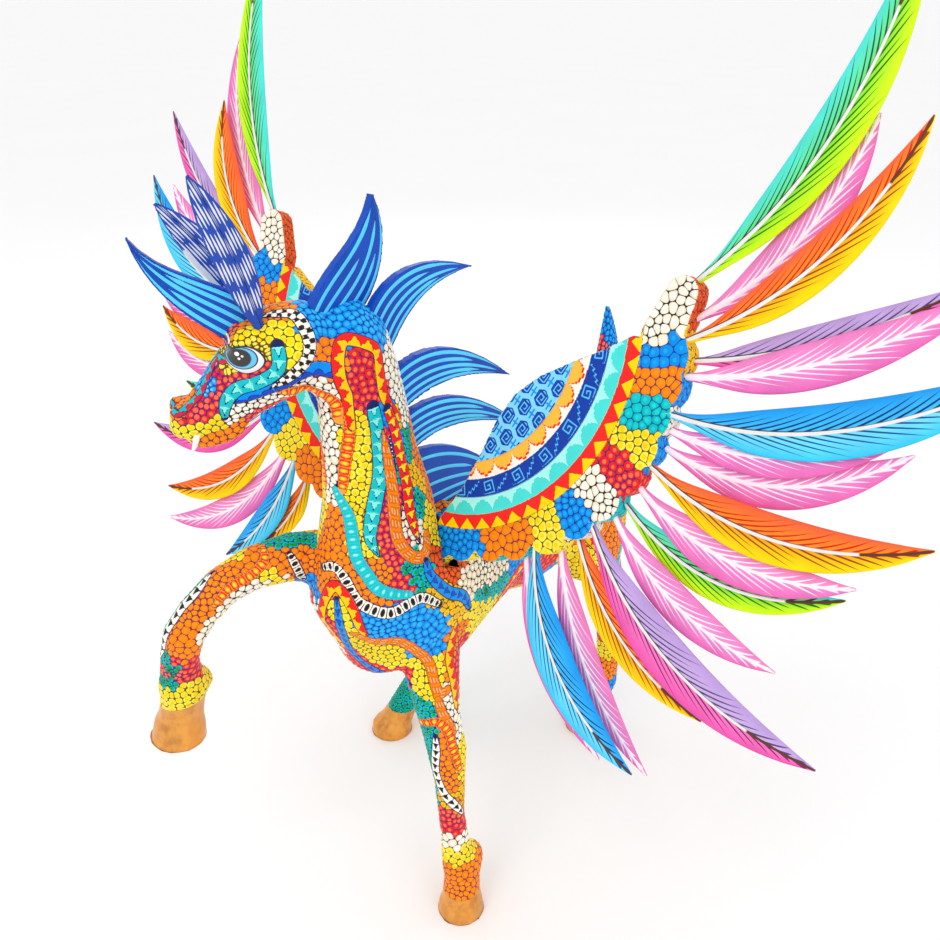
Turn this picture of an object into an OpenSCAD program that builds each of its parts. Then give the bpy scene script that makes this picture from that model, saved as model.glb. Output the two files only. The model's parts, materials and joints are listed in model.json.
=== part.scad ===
// Winged horse: a carved and painted wooden figure. The trunk carries glued-on
// legs and mane locks, and plug-in ears, tail and wings that lift out.
// It faces -Y, its left side is +X, and it stands on z = 0.

/* [Body] */
// Girth of the barrel, neck and head, as a share of the carved width
girth = 1.0; // [0.94:0.02:1.04]
// Turn of the head towards the right side, in degrees
head_turn = 34; // [28:1:38]
// Thickness of a mane lock
lock_t = 7; // [5:0.5:9]

/* [Ears and tail] */
// Length of the near ear above the head
ear_length = 86; // [70:1:95]
// Radius of an ear's round peg
ear_peg_r = 3; // [2.5:0.25:3.5]
// Radius of the tail's round peg
tail_peg_r = 5; // [4:0.5:6]
// Radial play of a round peg in its socket
peg_play = 0.08; // [0.05:0.01:0.1]

/* [Wings] */
// Backward lean of a wing, in degrees
wing_lean = 20; // [16:1:24]
// Forward turn of a wing's outer end, in degrees
wing_yaw = 5; // [2:1:8]
// Thickness of a wing plate
plate_t = 12; // [11:0.5:13]
// Thickness of a feather's blade
blade_t = 3.2; // [2.6:0.2:3.6]
// Radius of a feather's quill, pressed into the plate
quill_r = 1.7; // [1.6:0.05:1.8]

/* [Hidden] */
FEATHER_IDS = [for (n = [1:17]) n];
SIDES = ["left", "right"];
LOCK_IDS = [for (n = [1:6]) n];

$fn = 48;
RING = 24;          // points round a ring of the trunk
LEG_RING = 16;      // points round a ring of a leg
BLADE_RING = 8;     // points round a ring of a feather
centre = [-23, 18, 0];   // brings the middle of the figure's box over the origin

// ---- sweeps ---------------------------------------------------------------
// A sweep joins rings of points. A ring is an ellipse about a centre, spanned
// by a side vector and an up vector.
function unit(v) = v / norm(v);
function ellipse(c, side, up, n) =
    [for (k = [0:n - 1]) c + side * cos(k * 360 / n) + up * sin(k * 360 / n)];
function quads(rings, n) =
    [for (r = [0:rings - 2], k = [0:n - 1])
        [r * n + k, r * n + (k + 1) % n, (r + 1) * n + (k + 1) % n, (r + 1) * n + k]];

module skin(rings) {
    n = len(rings[0]);
    m = len(rings);
    first = [for (k = [n - 1:-1:0]) k];
    last = [for (k = [0:n - 1]) (m - 1) * n + k];
    polyhedron([for (r = rings) for (p = r) p], concat([first], quads(m, n), [last]));
}

// Direction of a path of points at point k.
function heading(path, k) =
    unit(path[min(k + 1, len(path) - 1)] - path[max(k - 1, 0)]);

// Rings across a path. Each row is [x, y, z, half-width, half-depth].
function swept(rows, side, n) =
    let (path = [for (r = rows) [r[0], r[1], r[2]]])
    [for (k = [0:len(rows) - 1])
        let (d = heading(path, k), up = unit(cross(side, d)), s = cross(d, up))
        ellipse(path[k], s * rows[k][3], up * rows[k][4], n)];

// Level rings, for a leg that stands.
function level(rows, n) =
    [for (r = rows) ellipse([r[0], r[1], r[2]], [r[3], 0, 0], [0, r[4], 0], n)];

// ---- trunk ----------------------------------------------------------------
// Barrel and neck, from the rump to the poll.
BARREL = [
    [0, 168, 242, 6, 8], [0, 164, 244, 20, 22], [0, 151, 248, 35, 40], [0, 124, 250, 43, 52],
    [0, 84, 248, 43, 57], [0, 44, 248, 42, 57], [0, 8, 252, 43, 47], [0, -26, 250, 47, 52],
    [0, -57, 247, 51, 64], [0, -82, 258, 51, 66], [0, -96, 280, 46, 57], [0, -98, 305, 37, 45],
    [-1, -98, 335, 31, 38], [-3, -100, 362, 25, 34], [-5, -101, 388, 22, 32],
    [-8, -102, 412, 22, 29], [-12, -110, 432, 24, 33], [-15, -116, 446, 19, 26],
    [-17, -122, 453, 7, 12]];

// Head and lower jaw, in their own frame: forward, up, half-width, half-depth.
poll = [-16, -124, 440];
HEAD = [
    [-9, 5, 9, 11], [1, 3, 20, 23], [16, -1, 24, 27], [30, -6, 24, 27], [46, -20, 18, 22],
    [60, -31, 14, 18], [72, -38, 12, 14], [81, -41, 12.5, 11], [87, -43, 9, 7], [90, -43, 5, 4]];
JAW = [[46, -36, 8, 5], [54, -46, 9, 8], [62, -50.5, 9, 7], [70, -52, 9, 6], [79, -53, 7, 4.5]];
head_fwd = [-sin(head_turn), -cos(head_turn), 0];
head_left = [cos(head_turn), -sin(head_turn), 0];
function on_head(f, h, left = 0) = poll + head_fwd * f + [0, 0, h] + head_left * left;
function widened(rows) = [for (r = rows) [r[0], r[1], r[2], r[3] * girth, r[4] * girth]];

// ---- pegs, sockets and wing frame -------------------------------------------
ear_foot = [35, 18.5, 12];    // forward, up, and to the side of the head's middle
near_tilt = [12, 7];        // lean of the left ear forward and outward, in degrees
far_tilt = [29, 10];        // and of the right ear
far_share = 0.88;           // length of the right ear beside the left
peg_len = 12;
ear_gap = 1.2;              // from the head's skin to the leaf's foot
tail_foot = [0, 150, 287];
tail_rake = 14;             // lean backward, in degrees
tail_peg_len = 16;
socket_extra = 1;           // a socket is this much deeper than its peg

wing_root = [34, -72, 292];
right_drop = [0, 0, -5];    // the right wing sits a little lower than the left
right_turn = 3.5;           // and its outer end turns further forward, in degrees
tenon = [16, 8, 30];        // width, thickness, depth into the body
tenon_play = 0.3;
tenon_angle = 35;           // from the plate's upward direction, outward
seat_play = 0.6;            // room between a plate's corner and the body

module on_floor() {
    translate(centre) children();
}

module ear_frame(s) {
    tilt = s > 0 ? near_tilt : far_tilt;
    translate(on_head(ear_foot[0], ear_foot[1], s * ear_foot[2]))
        rotate([0, 0, -head_turn])
            rotate([tilt[0], s * tilt[1], 0])
                children();
}

module tail_frame() {
    translate(tail_foot) rotate([-tail_rake, 0, 0]) children();
}

module wing_frame(side) {
    right = side == "right" ? 1 : 0;
    mirror([right, 0, 0])
        translate(wing_root + right * right_drop)
            rotate([0, 0, -wing_yaw])
                rotate([90 - wing_lean, 0, -right * right_turn])
                    children();
}

// The tenon's own frame: +Y runs out of the body along the tenon.
module tenon_frame() {
    rotate([0, 0, -tenon_angle]) children();
}

module block(size, grow = 0) {
    w = size[0] + 2 * grow;
    t = size[1] + 2 * grow;
    translate([-w / 2, -size[2] - grow, -t / 2]) cube([w, size[2] + grow + 14, t]);
}

module trunk() {
    color("orange")
        difference() {
            union() {
                skin(swept(widened(BARREL), [1, 0, 0], RING));
                for (part = [HEAD, JAW])
                    skin(swept(widened([for (r = part) concat(on_head(r[0], r[1]), [r[2], r[3]])]),
                               head_left, RING));
            }
            for (s = [-1, 1])
                ear_frame(s)
                    translate([0, 0, -peg_len - socket_extra])
                        cylinder(r = ear_peg_r + peg_play, h = peg_len + 20);
            tail_frame()
                translate([0, 0, -tail_peg_len - socket_extra])
                    cylinder(r = tail_peg_r + peg_play, h = tail_peg_len + 40);
            for (side = SIDES)
                wing_frame(side) {
                    tenon_frame() block(tenon, tenon_play);
                    translate([-20, -9, -plate_t / 2 - seat_play])
                        cube([70, 90, plate_t + 2 * seat_play]);
                }
        }
}

// ---- legs -------------------------------------------------------------------
// Each row is [x, y, z, half-width, half-depth], from the body down.
FORE_LEFT = [
    [28, -70, 250, 14, 18], [31, -82, 232, 17, 24], [36, -89, 208, 17, 22], [42, -92, 182, 15, 18],
    [47, -92, 158, 14, 15], [50, -91, 142, 14, 15], [55, -94, 120, 11, 12], [59, -97, 88, 9, 10],
    [62, -96, 58, 10, 12], [65, -91, 41, 13, 19], [67, -95, 30, 13, 14], [68, -97, 20, 14, 14],
    [69, -98, 7, 15, 16], [69, -99, 0, 15, 16]];
FORE_RIGHT = [
    [-24, -92, 264, 12, 14], [-32, -116, 282, 19, 20], [-40, -142, 291, 17, 16],
    [-50, -166, 290, 15, 14], [-58, -185, 282, 13, 13], [-64, -201, 268, 13, 13],
    [-69, -211, 253, 14, 13], [-73, -213, 238, 13, 12], [-77, -212, 224, 13, 13],
    [-79, -210, 210, 16, 17], [-83, -210, 197, 15, 15], [-86, -211, 184, 15, 15],
    [-89, -213, 167, 17, 17], [-90, -214, 163, 17, 17]];
HIND_LEFT = [
    [22, 130, 262, 14, 20], [32, 122, 240, 24, 38], [37, 112, 212, 24, 37], [38, 112, 194, 22, 32],
    [40, 128, 176, 17, 21], [41, 138, 150, 14, 17], [41, 147, 125, 13, 16], [40, 151, 100, 11, 13],
    [40, 151, 75, 10, 12], [39, 150, 55, 11, 13], [38, 148, 44, 13, 15], [36, 142, 32, 12, 14],
    [34, 137, 20, 13, 15], [32, 132, 6, 15, 17], [32, 131, 0, 15, 17]];
HIND_RIGHT = [
    [-24, 118, 262, 14, 20], [-34, 108, 240, 24, 38], [-40, 100, 208, 24, 37], [-46, 99, 176, 20, 30],
    [-54, 103, 148, 16, 21], [-62, 103, 124, 13, 17], [-72, 88, 100, 11, 13], [-82, 66, 77, 10, 12],
    [-91, 50, 58, 11, 13], [-96, 43, 48, 14, 16], [-100, 31, 35, 13, 14], [-103, 23, 22, 14, 15],
    [-107, 14, 6, 17, 18], [-107, 12, 0, 17, 18]];

module leg_fore_left() {
    color("orange") skin(level(FORE_LEFT, LEG_RING));
}
module leg_fore_right() {
    color("orange") skin(swept(FORE_RIGHT, [1, 0, 0], LEG_RING));
}
module leg_hind_left() {
    color("yellow") skin(level(HIND_LEFT, LEG_RING));
}
module leg_hind_right() {
    color("seagreen") skin(level(HIND_RIGHT, LEG_RING));
}

// ---- mane -------------------------------------------------------------------
// A lock is a flat flame: a lower and an upper edge that meet at its tip, each a
// curve led by four points. A row is [sideways, lower edge, upper edge], and a
// point is [along, up] in the lock's own upright plane.
LOCKS = [
    [0, [[48, 4], [73, 21], [92, 39], [98, 68]], [[26, 18], [49, 44], [81, 41]]],
    [-15, [[-116, 438], [-72, 452], [-62, 492], [-77, 518]], [[-137, 452], [-118, 490], [-92, 484]]],
    [-7, [[-82, 414], [-60, 450], [-38, 460], [5, 461]], [[-100, 440], [-84, 476], [-46, 480]]],
    [0.5, [[-76, 384], [-44, 397], [-11, 394], [40, 375]], [[-84, 412], [-50, 428], [-8, 414]]],
    [2, [[-70, 354], [-37, 367], [6, 354], [51, 333]], [[-76, 381], [-43, 391], [0, 378]]],
    [4, [[-64, 300], [-36, 304], [-2, 306], [28, 301]], [[-70, 354], [-35, 354], [-2, 332]]]];
lock_steps = 9;
function bend(p, q, r, t) = p * (1 - t) * (1 - t) + q * 2 * t * (1 - t) + r * t * t;
function curve(p, q, r, e, t) = bend(p, q, r, t) * (1 - t) + bend(q, r, e, t) * t;
function flame(low, high) = concat(
    [for (k = [0:lock_steps]) curve(low[0], low[1], low[2], low[3], k / lock_steps)],
    [for (k = [lock_steps - 1:-1:0]) curve(high[0], high[1], high[2], low[3], k / lock_steps)]);

// The forelock stands in the head's own plane, and the rest over the crest.
module mane_lock(n) {
    lock = LOCKS[n - 1];
    place = n == 1 ? poll : [lock[0], 0, 0];
    turn = n == 1 ? -90 - head_turn : 90;
    color("royalblue")
        translate(place)
            rotate([90, 0, turn])
                translate([0, 0, -lock_t / 2])
                    linear_extrude(lock_t) polygon(flame(lock[1], lock[2]));
}

// ---- ears and tail ------------------------------------------------------------
ear_w = 10.5;      // half-width of the leaf
ear_turn = 80;     // turn of the leaf's wide side from straight across the head
ear_thick = 3.5;   // half-thickness of the leaf
EAR_STEPS = 12;
module ear(s) {
    wide = ear_w * [-cos(ear_turn), s * sin(ear_turn), 0];
    thick = ear_thick * [s * sin(ear_turn), cos(ear_turn), 0];
    long = ear_length * (s > 0 ? 1 : far_share);
    rings = [for (k = [0:EAR_STEPS])
        let (t = k / EAR_STEPS, swell = pow(sin(180 * (0.1 + 0.88 * t)), 0.8),
             z = ear_gap + t * long, cup = 10 * t * t)
        ellipse([0, -cup, z], wide * swell, thick * swell, LEG_RING)];
    color("midnightblue")
        ear_frame(s) {
            skin(rings);
            translate([0, 0, -peg_len]) cylinder(r = ear_peg_r, h = peg_len + ear_gap + 4);
        }
}

tail_length = 101;
tail_gap = 9;       // from the peg's frame to the foot of the carved part
TAIL_STEPS = 12;
module tail() {
    rings = [for (k = [0:TAIL_STEPS])
        let (t = k / TAIL_STEPS, swell = pow(sin(180 * (0.2 + 0.76 * t)), 0.9),
             z = tail_gap + t * tail_length, sway = 16 * sin(180 * t))
        ellipse([0, sway, z], [-9 * swell, 0, 0], [0, 15 * swell, 0], LEG_RING)];
    color("steelblue")
        tail_frame() {
            skin(rings);
            translate([0, 0, -tail_peg_len]) cylinder(r = tail_peg_r, h = tail_peg_len + tail_gap + 6);
        }
}

// ---- wings --------------------------------------------------------------------
// In a wing's frame +X runs outward, +Y up the plate and +Z out of its painted face.
// The painted bands are arcs about one point, and the lobes stand outside them.
band_at = [-22, 146];
band_r = 137;
INNER_EDGE = [[-10, 2], [-5, 21], [7, 46], [14, 68], [21, 96], [30, 115], [45, 130], [64, 143],
              [86, 157], [101, 168]];
// Each lobe is [bearing from the bands' centre, distance, radius].
LOBES = [[6, 147, 14], [0, 147, 14], [-7, 147, 14], [-14, 149, 13], [-21, 148, 14],
         [-29, 148, 14], [-37, 147, 13], [-46, 144, 14], [-56, 141, 13], [-64, 139, 13],
         [-74, 139, 13], [-81, 141, 12]];
FINGER = [[118, 172, 13], [123, 196, 10]];
function around(a, r) = band_at + r * [cos(a), sin(a)];

module plate_shape() {
    polygon(concat(INNER_EDGE, [for (a = [8:-6:-82]) around(a, band_r)]));
    for (l = LOBES)
        translate(around(l[0], l[1])) circle(l[2]);
    hull()
        for (f = FINGER)
            translate([f[0], f[1]]) circle(f[2], $fn = 32);
}

// Each feather is [foot, tip, bow as a share of its length, half-width, layer].
LEFT = [
    [[125, 202], [189, 388], 0.11, 14, 0], [[130, 184], [194, 299], 0.11, 12, -1],
    [[132, 172], [222, 298], 0.11, 12, 1], [[134, 162], [262, 230], 0.06, 10, -1],
    [[134, 153], [268, 226], 0.08, 12, 0], [[134, 132], [300, 202], 0.11, 14, 1],
    [[132, 124], [262, 164], 0.12, 11, 0], [[134, 113], [260, 148], 0.14, 12, -1],
    [[132, 102], [284, 110], 0.12, 13, 1], [[127, 88], [256, 79], 0.12, 12, 0],
    [[119, 76], [252, 71], 0.15, 11, -1], [[117, 67], [232, 23], 0.10, 11, 0],
    [[106, 58], [267, -12], 0.12, 14, 1], [[97, 48], [203, -20], 0.11, 12, 0],
    [[85, 38], [181, -67], 0.10, 11, -1], [[72, 32], [176, -67], 0.14, 14, 1],
    [[64, 26], [152, -72], 0.10, 10, 0]];
RIGHT = [
    [[125, 202], [172, 392], 0.09, 13, 0], [[130, 184], [185, 333], 0.10, 12, -1],
    [[132, 172], [186, 280], 0.11, 13, 1], [[134, 162], [246, 271], 0.07, 10, -1],
    [[134, 153], [232, 215], 0.10, 11, 0], [[134, 132], [250, 220], 0.12, 13, 1],
    [[132, 124], [230, 132], 0.12, 11, 0], [[134, 113], [206, 112], 0.12, 10, -1],
    [[132, 100], [223, 121], 0.12, 12, 1], [[127, 88], [218, 102], 0.12, 11, 0],
    [[119, 76], [196, 66], 0.12, 10, -1], [[117, 67], [206, 45], 0.10, 11, 0],
    [[106, 58], [217, 28], 0.14, 11, 1], [[97, 48], [197, -20], 0.15, 12, 0],
    [[85, 38], [196, -46], 0.15, 12, -1], [[72, 32], [124, -57], 0.10, 11, 1],
    [[60, 25], [94, -40], 0.10, 9, 0]];
function feathers(side) = side == "left" ? LEFT : RIGHT;
layer_pitch = 4.1;      // distance between layers of blades
quill_pitch = 3.3;      // distance between layers of quills inside the plate
quill_depth = 9;
bore_grip = 0.08;       // a quill's bore is this much smaller in radius
BLADE_STEPS = 12;

function bow_point(f) =
    let (d = f[1] - f[0]) (f[0] + f[1]) / 2 + 2 * f[2] * [d[1], -d[0]];
function blade_at(f, t) = bend(f[0], bow_point(f), f[1], t);
function blade_way(f, t) = unit((bow_point(f) - f[0]) * (1 - t) + (f[1] - bow_point(f)) * t);
function swell(t) = pow(sin(180 * pow(min(max((t - 0.04) / 0.955, 0), 1), 0.9)), 0.75);
function lift(f, t) = f[4] * (quill_pitch + (layer_pitch - quill_pitch) * min(t / 0.2, 1));
function blade_ring(f, t, back = 0) =
    let (p = blade_at(f, t) - back * blade_way(f, t), d = blade_way(f, t),
         w = max(f[3] * swell(t), t > 0.5 ? 0.5 : quill_r),
         h = t > 0.5 ? max(blade_t / 2 * swell(t), 0.4)
             : max(blade_t / 2, quill_r - 0.4 * t))
    ellipse([p[0], p[1], lift(f, t)], [d[1], -d[0], 0] * w, [0, 0, h], BLADE_RING);

module quill_bore(f) {
    d = blade_way(f, 0);
    translate([f[0][0], f[0][1], f[4] * quill_pitch])
        rotate([0, 0, atan2(d[1], d[0])])
            rotate([0, -90, 0])
                translate([0, 0, -15])
                    cylinder(r = quill_r - bore_grip, h = quill_depth + 16);
}

module wing_plate(side) {
    color("deepskyblue")
        wing_frame(side) {
            difference() {
                translate([0, 0, -plate_t / 2]) linear_extrude(plate_t) plate_shape();
                for (f = feathers(side)) quill_bore(f);
            }
            tenon_frame() block(tenon);
        }
}

module feather(side, n) {
    f = feathers(side)[n - 1];
    rings = concat([blade_ring(f, 0, quill_depth)],
                   [for (k = [0:BLADE_STEPS]) blade_ring(f, k / BLADE_STEPS)]);
    color(n == 1 || n == 11 ? "springgreen" : n % 2 == 0 ? "orchid" : "darkorange")
        wing_frame(side) skin(rings);
}

// ---- drawing ------------------------------------------------------------------
on_floor() {
    trunk();
    leg_fore_left();
    leg_fore_right();
    leg_hind_left();
    leg_hind_right();
    ear(1);  // ear_left
    ear(-1);  // ear_right
    tail();
    for (n = LOCK_IDS)
        mane_lock(n);
    for (s = SIDES)
        wing_plate(s);
    for (s = SIDES, n = FEATHER_IDS)
        feather(s, n);
}
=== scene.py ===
"""The looks of the painted winged horse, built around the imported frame."""
import json
import math

import bpy
import numpy as np
from mathutils import Matrix, Vector
from mathutils.bvhtree import BVHTree
from mathutils.kdtree import KDTree


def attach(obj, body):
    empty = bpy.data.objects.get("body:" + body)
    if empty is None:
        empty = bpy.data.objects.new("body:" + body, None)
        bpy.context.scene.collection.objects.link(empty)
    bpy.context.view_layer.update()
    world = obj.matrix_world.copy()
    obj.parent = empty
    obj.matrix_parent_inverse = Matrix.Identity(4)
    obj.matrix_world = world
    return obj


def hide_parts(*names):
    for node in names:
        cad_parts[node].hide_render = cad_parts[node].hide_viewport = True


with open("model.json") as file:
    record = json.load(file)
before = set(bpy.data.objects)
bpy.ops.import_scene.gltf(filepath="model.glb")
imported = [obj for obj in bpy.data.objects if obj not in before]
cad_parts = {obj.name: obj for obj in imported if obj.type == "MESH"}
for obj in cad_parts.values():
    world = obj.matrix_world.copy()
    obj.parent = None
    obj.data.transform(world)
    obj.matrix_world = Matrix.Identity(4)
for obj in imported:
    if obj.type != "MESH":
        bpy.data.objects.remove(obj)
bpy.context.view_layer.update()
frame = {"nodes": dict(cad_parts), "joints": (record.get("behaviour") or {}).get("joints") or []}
nodes = frame["nodes"]
joint_axis = {j["child"]: np.array(j["axis"], float) for j in frame["joints"]}

MM = 0.001
SIDE = {"left": 1, "right": -1}     # the horse's left is +X
FEATHERS = 17       # on each wing
LOCKS = 6           # of the mane
rng = np.random.default_rng(7)

# The horse's own frame: its middle plane is x = 0, it faces -Y, and it stands on z = 0.
# Lengths in it are in millimetres, and the frame's origin is moved from it by this much.
HORSE = np.array([-23.0, 18.0, 0.0])


def to_frame(p):
    """Horse millimetres to frame metres."""
    return (np.asarray(p, float) + HORSE) * MM


def to_horse(p):
    """Frame metres to horse millimetres."""
    return np.asarray(p, float) / MM - HORSE


def unit(v):
    v = np.asarray(v, float)
    return v / np.maximum(np.linalg.norm(v, axis=-1, keepdims=True), 1e-12)


# ---- camera, light and floor --------------------------------------------------
AZIMUTH = math.radians(39.0)
ELEVATION = math.radians(26.7)
DISTANCE = 1.0
TARGET = Vector((-0.199, 0.2325, 0.1726))
LENS = 36.2


def aimed(name, data, place, way):
    """A camera or lamp at a place, looking this way."""
    made = object_from(name, data)
    made.location = place
    made.rotation_mode = "QUATERNION"
    made.rotation_quaternion = way.to_track_quat("-Z", "Y")
    return made


def make_camera():
    """The camera is ahead of the horse and to its left, and looks down on it a little."""
    data = bpy.data.cameras.new("camera")
    data.lens = LENS
    data.sensor_width = 36.0
    data.clip_start = 0.01
    data.clip_end = 1000.0
    back = Vector((math.sin(AZIMUTH) * math.cos(ELEVATION),
                   -math.cos(AZIMUTH) * math.cos(ELEVATION),
                   math.sin(ELEVATION)))
    bpy.context.scene.camera = aimed("camera", data, TARGET + back * DISTANCE, -back)


def area_light(name, place, size, power):
    """A round lamp that is aimed at the middle of the figure."""
    data = bpy.data.lights.new(name, "AREA")
    data.shape = "DISK"
    data.size = size
    data.energy = power
    aimed(name, data, place, Vector((0.0, 0.0, 0.3)) - Vector(place))


def make_light():
    """Soft white light from all round, with three faint large lamps for shape."""
    world = bpy.data.worlds.new("studio")
    world.use_nodes = True
    background = world.node_tree.nodes["Background"]
    background.inputs["Color"].default_value = (1.0, 1.0, 1.0, 1.0)
    background.inputs["Strength"].default_value = 1.0
    bpy.context.scene.world = world
    area_light("key", (0.1, -1.6, 1.9), 1.1, 8.0)
    area_light("side", (1.7, -0.5, 1.0), 1.0, 3.0)
    area_light("rim", (-1.2, 1.5, 1.4), 1.0, 3.0)
    bpy.context.scene.view_settings.view_transform = "Standard"


def make_floor():
    """A plain pale floor."""
    size = 400.0
    mesh = bpy.data.meshes.new("floor")
    corners = [(-size, -size, 0), (size, -size, 0), (size, size, 0), (-size, size, 0)]
    mesh.from_pydata(corners, [], [(0, 1, 2, 3)])
    floor = object_from("floor", mesh)
    floor.data.materials.append(floor_material())


# ---- materials ------------------------------------------------------------------
class Nodes:
    """A short way to write a node material."""

    def __init__(self, name):
        self.material = bpy.data.materials.new(name)
        self.material.use_nodes = True
        self.tree = self.material.node_tree
        self.shader = self.tree.nodes["Principled BSDF"]

    def add(self, kind, **settings):
        made = self.tree.nodes.new(kind)
        for key, value in settings.items():
            setattr(made, key, value)
        return made

    def put(self, socket, value):
        if hasattr(value, "links"):
            self.tree.links.new(value, socket)
        elif isinstance(value, tuple) and len(value) == 3 and socket.type == "RGBA":
            socket.default_value = (*value, 1.0)
        else:
            socket.default_value = value

    def math(self, operation, *values):
        made = self.add("ShaderNodeMath", operation=operation)
        for socket, value in zip(made.inputs, values):
            self.put(socket, value)
        return made.outputs[0]

    def mix(self, share, low, high, blend="MIX"):
        made = self.add("ShaderNodeMix", data_type="RGBA", blend_type=blend)
        self.put(made.inputs[0], share)
        self.put(made.inputs[6], low)
        self.put(made.inputs[7], high)
        return made.outputs[2]

    def span(self, value, low, high, to_low=0.0, to_high=1.0):
        made = self.add("ShaderNodeMapRange", interpolation_type="SMOOTHSTEP")
        for socket, number in zip(made.inputs, (value, low, high, to_low, to_high)):
            self.put(socket, number)
        return made.outputs[0]

    def colour_of(self, name):
        return self.add("ShaderNodeAttribute", attribute_name=name).outputs["Color"]

    def number_of(self, name):
        return self.add("ShaderNodeAttribute", attribute_name=name).outputs["Fac"]

    def place(self):
        return self.add("ShaderNodeTexCoord").outputs["Object"]

    def noise(self, scale, detail=3.0, stretch=None, roughness=0.55):
        where = self.place()
        if stretch is not None:
            mapping = self.add("ShaderNodeMapping")
            self.put(mapping.inputs["Vector"], where)
            mapping.inputs["Scale"].default_value = stretch
            where = mapping.outputs[0]
        made = self.add("ShaderNodeTexNoise")
        self.put(made.inputs["Vector"], where)
        made.inputs["Scale"].default_value = scale
        made.inputs["Detail"].default_value = detail
        made.inputs["Roughness"].default_value = roughness
        return made.outputs["Fac"]

    def bump(self, height, strength, distance):
        made = self.add("ShaderNodeBump")
        made.inputs["Strength"].default_value = strength
        made.inputs["Distance"].default_value = distance
        self.put(made.inputs["Height"], height)
        self.put(self.shader.inputs["Normal"], made.outputs[0])


SOFT = 0.09     # half of the blur at a painted edge, in millimetres


def painted(name, gloss=0.38, coat=0.03, worn=0.08):
    """Hand-painted acrylic. Each vertex carries three colours and two distances in
    millimetres: the mark shows where mark_d > 0, and the dark edge where edge_d < 0."""
    n = Nodes(name)
    mark = n.span(n.number_of("mark_d"), -SOFT, SOFT)
    inner = n.mix(mark, n.colour_of("tone"), n.colour_of("mark"))
    edge = n.span(n.number_of("edge_d"), -SOFT, SOFT)
    flat = n.mix(edge, n.colour_of("edge"), inner)
    brushed = n.span(n.noise(900.0, 3.0), 0.3, 0.7)
    broad = n.span(n.noise(70.0, 2.0), 0.3, 0.7)
    streaked = n.mix(n.math("MULTIPLY", brushed, worn), flat, (1.0, 1.0, 0.96), "SOFT_LIGHT")
    toned = n.mix(n.math("MULTIPLY", broad, worn), streaked, (0.25, 0.22, 0.3), "MULTIPLY")
    n.put(n.shader.inputs["Base Color"], toned)
    rough = n.math("MULTIPLY_ADD", brushed, 0.14, gloss - 0.07)
    n.put(n.shader.inputs["Roughness"], n.math("MULTIPLY_ADD", edge, -0.05, rough))
    n.shader.inputs["Specular IOR Level"].default_value = 0.11
    n.shader.inputs["Coat Weight"].default_value = coat
    n.shader.inputs["Coat Roughness"].default_value = 0.22
    grain = n.noise(1400.0, 2.0)
    thick = n.math("MULTIPLY_ADD", mark, 0.5, n.math("MULTIPLY", edge, 0.8))
    n.bump(n.math("ADD", thick, n.math("MULTIPLY", grain, 0.35)), 0.5, 0.0002)
    return n.material


def gold_paint():
    """The hooves: gold-brown paint brushed thinly over the wood."""
    n = Nodes("hoof_gold")
    strokes = n.span(n.noise(60.0, 5.0, (1.0, 1.0, 0.16)), 0.3, 0.7)
    blots = n.span(n.noise(150.0, 4.0), 0.35, 0.65)
    warm = n.mix(strokes, (0.46, 0.145, 0.012), (0.80, 0.29, 0.02))
    bright = n.mix(n.math("MULTIPLY", blots, 0.55), warm, (0.84, 0.40, 0.05))
    n.put(n.shader.inputs["Base Color"], bright)
    n.put(n.shader.inputs["Roughness"], n.span(blots, 0.0, 1.0, 0.30, 0.48))
    n.shader.inputs["Metallic"].default_value = 0.08
    n.shader.inputs["Coat Weight"].default_value = 0.2
    n.bump(n.math("MULTIPLY_ADD", blots, 0.4, strokes), 0.45, 0.0004)
    return n.material


def bare_wood():
    """Copal wood, seen in the sockets and on the pegs and tenons."""
    n = Nodes("bare_wood")
    grain = n.span(n.noise(160.0, 6.0, (1.0, 1.0, 0.08)), 0.3, 0.7)
    n.put(n.shader.inputs["Base Color"], n.mix(grain, (0.62, 0.45, 0.27), (0.80, 0.65, 0.44)))
    n.put(n.shader.inputs["Roughness"], n.span(grain, 0.0, 1.0, 0.62, 0.8))
    n.bump(grain, 0.4, 0.0003)
    return n.material


def floor_material():
    n = Nodes("floor")
    cloud = n.noise(2.0, 2.0)
    n.put(n.shader.inputs["Base Color"], n.mix(cloud, (0.93, 0.93, 0.93), (0.96, 0.96, 0.96)))
    n.shader.inputs["Roughness"].default_value = 0.9
    n.shader.inputs["Specular IOR Level"].default_value = 0.1
    return n.material


# ---- colours, linear -------------------------------------------------------------
def tint(red, green, blue):
    """A colour given as it looks, from 0 to 255, as linear light."""
    c = np.array([red, green, blue], float) / 255
    return np.where(c <= 0.04045, c / 12.92, ((c + 0.055) / 1.055) ** 2.4)


NAVY = tint(25, 35, 95)
INK = tint(35, 28, 30)
OLIVE = tint(96, 78, 10)
WHITE = tint(250, 246, 232)
YELLOW = tint(255, 222, 20)
ORANGE = tint(255, 134, 0)
RED = tint(244, 34, 30)
BLUE = tint(10, 146, 236)
SKY = tint(98, 206, 255)
ROYAL = tint(28, 84, 190)
TEAL = tint(10, 192, 200)
AQUA = tint(130, 240, 225)

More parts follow.
